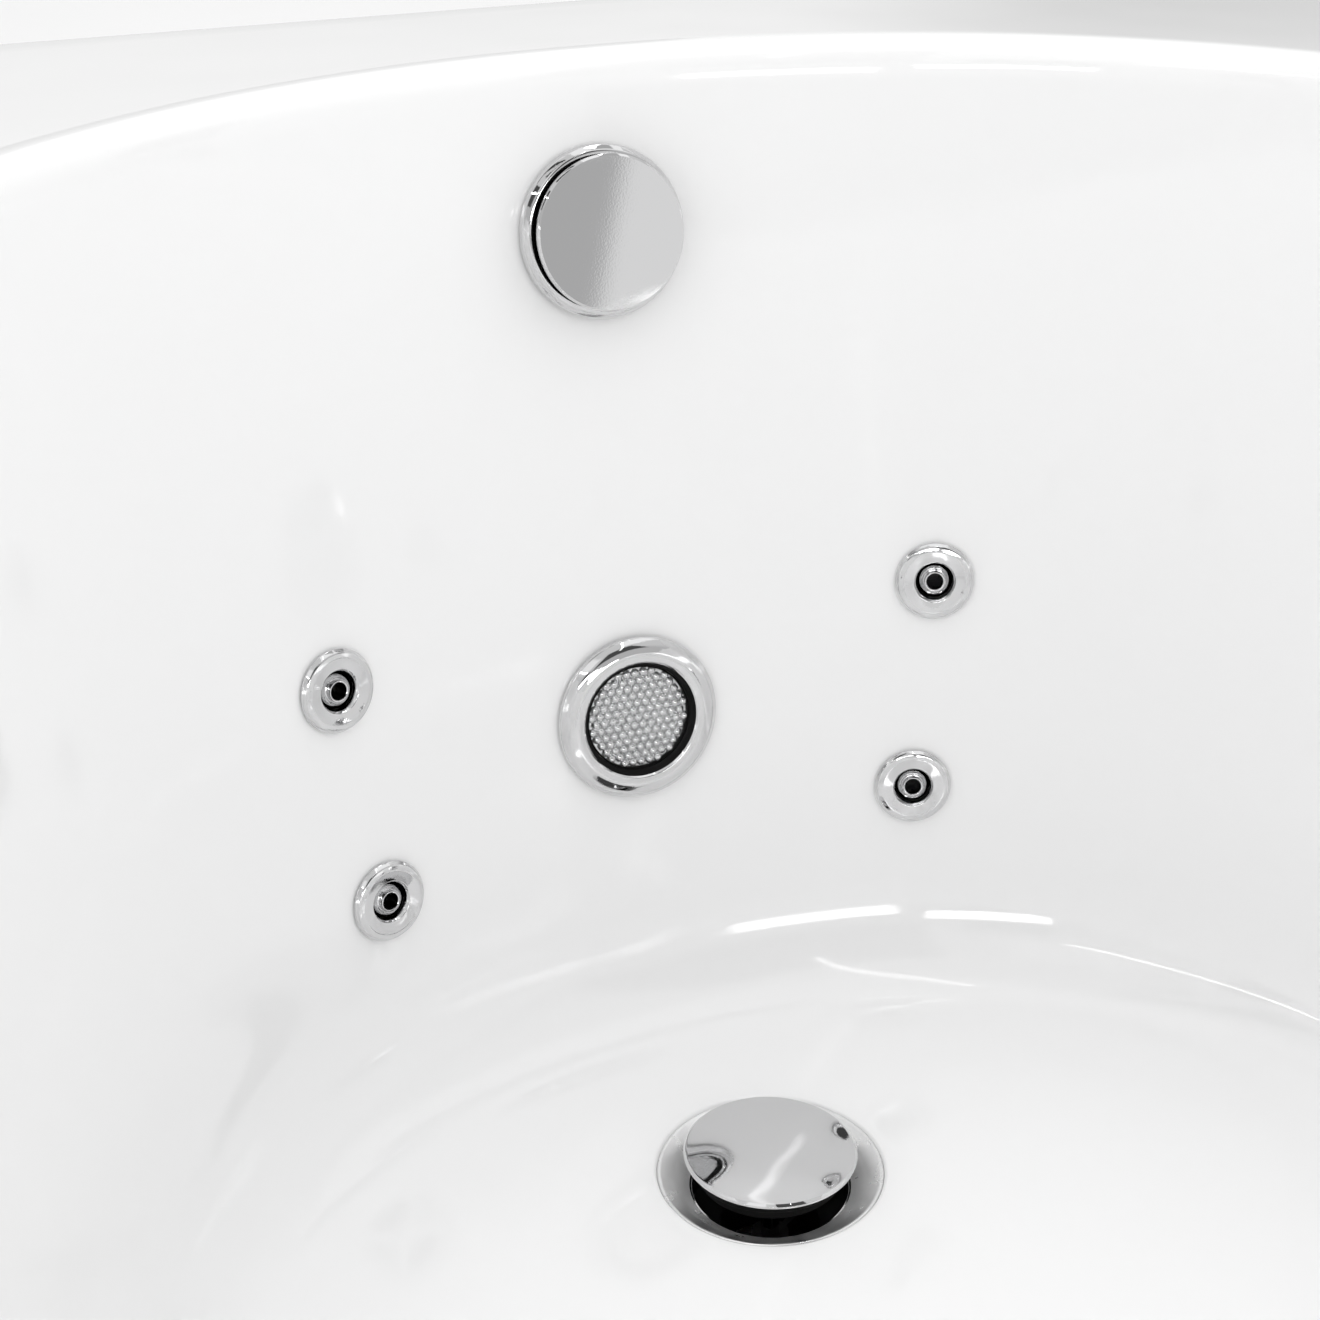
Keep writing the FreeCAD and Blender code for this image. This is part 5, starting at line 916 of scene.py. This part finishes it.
but_body = [(12.06, -28.0), (12.06, 1.8), (12.5, 2.2), (17.6, 2.2), (20.8, 1.5), (21.9, 0.9), (21.8, 0.4), (14.0, 0.35), (14.0, -33.6), (13.6, -34.0), (4.0, -34.0), (4.0, -48.0),
            (2.0, -48.0), (2.0, -34.0)]
lathe("button_base", but_body, M_BUTTON, MAT["chrome"], "tub", ["air_button_body"], 128)
bp = [(0, 5.6), (3.0, 5.62), (6.0, 5.9), (9.3, 6.4), (10.6, 6.3), (11.5, 5.6), (12.0, 4.4), (12.0, -14.0), (0, -14.0)]
lathe("button_cap", bp, M_BUTTON, MAT["chrome"], "button", ["air_button"], 128)


# ================================================================ materials of the carried-over pieces
keep = {
    "overflow_body": "pvc_white", "waste_shoe": "black", "waste_pipes": "pvc_white", "waste_tee": "pvc_white", "knob_cable": "black",
    "gaskets": "rubber", "fitting_nuts": "pvc_white", "jet_bodies": "abs", "water_main": "pvc_grey", "branch_pipes": "pvc_grey",
    "pipe_fittings": "pvc_grey", "suction_grille": "chrome", "suction_body": "abs", "suction_pipe": "pvc_grey", "pump_volute": "black",
    "pump_impeller": "black", "motor_rotor": "lamination", "motor_housing": "motor", "motor_stator": "lamination", "motor_fan": "black",
    "fan_cover": "motor", "pump_tray": "galv", "pump_cradle": "black", "pump_mounts": "rubber", "frame": "galv", "base_board": "board",
    "foot_nuts": "zinc", "front_apron": "apron", "access_panel": "apron", "access_screws": "stainless", "air_hose": "hose",
    "button_tube": "hose", "control_box": "abs", "cables": "rubber"}
for i in range(1, 5):
    keep["levelling_foot_%d" % i] = "zinc"
for n, m in keep.items():
    o = NODES[n]
    o.data.materials.clear()
    o.data.materials.append(MAT[m])


# ================================================================ floor, light and camera
WORLD_PATCHES = [
    # azimuth from, to, elevation from, to, softness, level, lean
    (-60.0, -30.0, 42.0, 60.0, 2.0, 1.10, 0.0), (-150.0, -120.0, 56.0, 78.0, 3.0, 1.10, 0.0), (-14.0, 30.0, 28.5, 61.0, 1.0, 0.09, 0.0), (-37.0, -21.0, 28.0, 36.0, 0.8, 0.12, 0.0),
    (104.0, 134.0, 57.0, 75.0, 1.0, 0.12, 0.0), (-104.0, -92.0, 48.0, 80.0, 0.8, 0.07, 0.0), (-88.0, -77.0, 28.0, 48.0, 0.8, 0.09, 0.0),
    (-84.0, -78.0, 58.0, 76.0, 0.6, 0.08, 0.0), (62.0, 76.0, 13.0, 31.0, 0.8, 0.08, 0.0), (-60.0, -51.0, 11.0, 27.0, 0.8, 0.16, 0.0),
    (114.0, 151.0, -6.0, 22.0, 5.0, 0.22, 0.0), (157.0, 180.0, 16.0, 31.0, 0.8, 0.10, 0.0),
    (-180.0, -167.0, 16.0, 36.0, 0.8, 0.12, 0.0), (-160.0, -149.0, 4.0, 38.0, 0.8, 0.10, 0.0), (-133.0, -126.0, -6.0, 34.0, 0.8, 0.12, 0.0),
    (-60.0, 19.7, 0.0, 9.0, 0.35, 0.54, 0.35), (19.7, 62.0, 0.0, 12.0, 0.35, 0.92, 0.35), (-60.0, 19.7, 9.0, 16.0, 0.35, 0.86, 0.35)]
sm, snt, sb = new_mat("pale_floor", (0.90, 0.90, 0.90), 0.55)
sv = coords(snt)
snt.links.new(ramp(snt, noise(snt, sv, 1.3, 4.0), [(0.3, (0.885, 0.885, 0.885)), (0.7, (0.905, 0.905, 0.905))]), sb.inputs["Base Color"])
bump(snt, sb, noise(snt, sv, 240.0, 3.0), 0.0001)
fl = mesh_object("studio_floor", [(-9, -9, -0.0005), (9, -9, -0.0005), (9, 9, -0.0005), (-9, 9, -0.0005)], [(0, 1, 2, 3)], [sm])

world = bpy.data.worlds.new("studio")
bpy.context.scene.world = world
world.use_nodes = True
wt = world.node_tree
bg = wt.nodes["Background"]


def math_node(op, a, b=None, c=None):
    n = wt.nodes.new("ShaderNodeMath")
    n.operation = op
    for i, v in enumerate((a, b, c)):
        if v is None:
            continue
        if isinstance(v, (int, float)):
            n.inputs[i].default_value = v
        else:
            wt.links.new(v, n.inputs[i])
    return n.outputs[0]


def smooth(x, lo, hi):
    n = wt.nodes.new("ShaderNodeMapRange")
    n.interpolation_type = "SMOOTHSTEP"
    n.inputs["From Min"].default_value = lo
    n.inputs["From Max"].default_value = hi
    wt.links.new(x, n.inputs["Value"])
    return n.outputs["Result"]


def window(x, lo, hi, soft):
    return math_node("MULTIPLY", smooth(x, lo - soft, lo + soft), math_node("SUBTRACT", 1.0, smooth(x, hi - soft, hi + soft)))


def mixed(base, value, mask):
    """base where the mask is 0, value where it is 1."""
    return math_node("ADD", math_node("MULTIPLY", base, math_node("SUBTRACT", 1.0, mask)), math_node("MULTIPLY", mask, value))


wtc = wt.nodes.new("ShaderNodeTexCoord")
wsep = wt.nodes.new("ShaderNodeSeparateXYZ")
wt.links.new(wtc.outputs["Generated"], wsep.inputs[0])
el = math_node("MULTIPLY", math_node("ARCSINE", wsep.outputs["Z"]), 180 / math.pi)
az = math_node("MULTIPLY", math_node("ARCTAN2", wsep.outputs["Y"], wsep.outputs["X"]), 180 / math.pi)
# a pale room: light ceiling, greyer walls with a few dark uprights and paler bays
CEIL, WALL = 0.78, 0.60
level = mixed(WALL, CEIL, smooth(el, 26.0, 46.0))
leaned = math_node("SUBTRACT", az, math_node("MULTIPLY", math_node("SUBTRACT", el, 6.7), 0.35))
for a0, a1, e0, e1, soft, v, lean in WORLD_PATCHES:
    level = mixed(level, v, math_node("MULTIPLY", window(leaned if lean else az, a0, a1, soft), window(el, e0, e1, soft)))
lp = wt.nodes.new("ShaderNodeLightPath")
level = mixed(level, 0.97, lp.outputs["Is Camera Ray"])
level = mixed(level, 1.16, lp.outputs["Is Diffuse Ray"])
wt.links.new(level, bg.inputs["Strength"])
bg.inputs["Color"].default_value = (1, 1, 1, 1)


def area(name, loc, target, sx, sy, radiance, turn=0.0, diffuse=True, long_axis=None):
    """A rectangular soft light of a given radiance, kept out of the camera's sight."""
    ld = bpy.data.lights.new(name, "AREA")
    ld.shape = "RECTANGLE"
    ld.size, ld.size_y = sx, sy
    ld.energy = radiance * math.pi * sx * sy
    o = link(bpy.data.objects.new(name, ld))
    o.location = loc
    d = Vector(target) - Vector(loc)
    o.rotation_euler = (d.to_track_quat("-Z", "Y").to_matrix() @ Matrix.Rotation(turn, 3, "Z")).to_euler()
    if long_axis is not None:
        zz = -d.normalized()
        xx = Vector(long_axis)
        xx = (xx - zz * xx.dot(zz)).normalized()
        yy = zz.cross(xx)
        o.rotation_euler = Matrix(((xx.x, yy.x, zz.x), (xx.y, yy.y, zz.y), (xx.z, yy.z, zz.z))).to_euler()
    o.visible_camera = False
    o.visible_diffuse = diffuse
    return o


area("softbox_top", (-1.88, 0.92, 2.8), (-1.88, 0.92, 0), 1.75, 0.36, 5.0, 0.0, False, (0.87, -0.48, 0.0))
area("fill_top", (-0.9, 0.9, 3.0), (-0.5, 0.0, 0.3), 2.0, 2.0, 0.42)
# windows seen in the bottom rounding, and ceiling strips seen on the floor
area("window_a", (4.6, 0.05, 2.05), (-0.6, 0.1, 0.2), 1.75, 0.60, 6.5, 0.0, False)
area("window_b", (4.0, -2.05, 2.5), (-0.6, 0.1, 0.2), 1.90, 0.55, 8.0, 0.0, False)
area("strip_a", (0.35, 0.31, 2.8), (0.35, 0.31, 0), 2.0, 0.035, 5.0, 0.0, False)
area("strip_b", (-2.5, 1.10, 2.8), (-2.5, 1.10, 0), 2.1, 0.07, 12.0, math.radians(-20), False)
area("strip_c", (0.4, -2.3, 2.8), (0.4, -2.3, 0), 2.6, 0.06, 14.0, math.radians(25), False)

cam_d = bpy.data.cameras.new("camera")
cam = link(bpy.data.objects.new("camera", cam_d))
bpy.context.scene.camera = cam
yaw, pit, rol = math.radians(-21.743), math.radians(28.017), math.radians(-0.083)
fw = Vector((-math.cos(pit) * math.cos(yaw), -math.cos(pit) * math.sin(yaw), -math.sin(pit)))
r0 = fw.cross(Vector((0, 0, 1))).normalized()
u0 = r0.cross(fw)
rt = r0 * math.cos(rol) + u0 * math.sin(rol)
upv = -r0 * math.sin(rol) + u0 * math.cos(rol)
R = Matrix.Identity(4)
for j in range(3):
    R[j][0], R[j][1], R[j][2] = rt[j], upv[j], -fw[j]
R.translation = (0.0701, -0.2909, 0.7786)
cam.matrix_world = R
cam_d.sensor_fit = "HORIZONTAL"
cam_d.sensor_width = 36.0
cam_d.lens = 36.0 * 2080.9 / 1320.0
cam_d.clip_start, cam_d.clip_end = 0.01, 60.0
bpy.context.scene.view_settings.view_transform = "Standard"
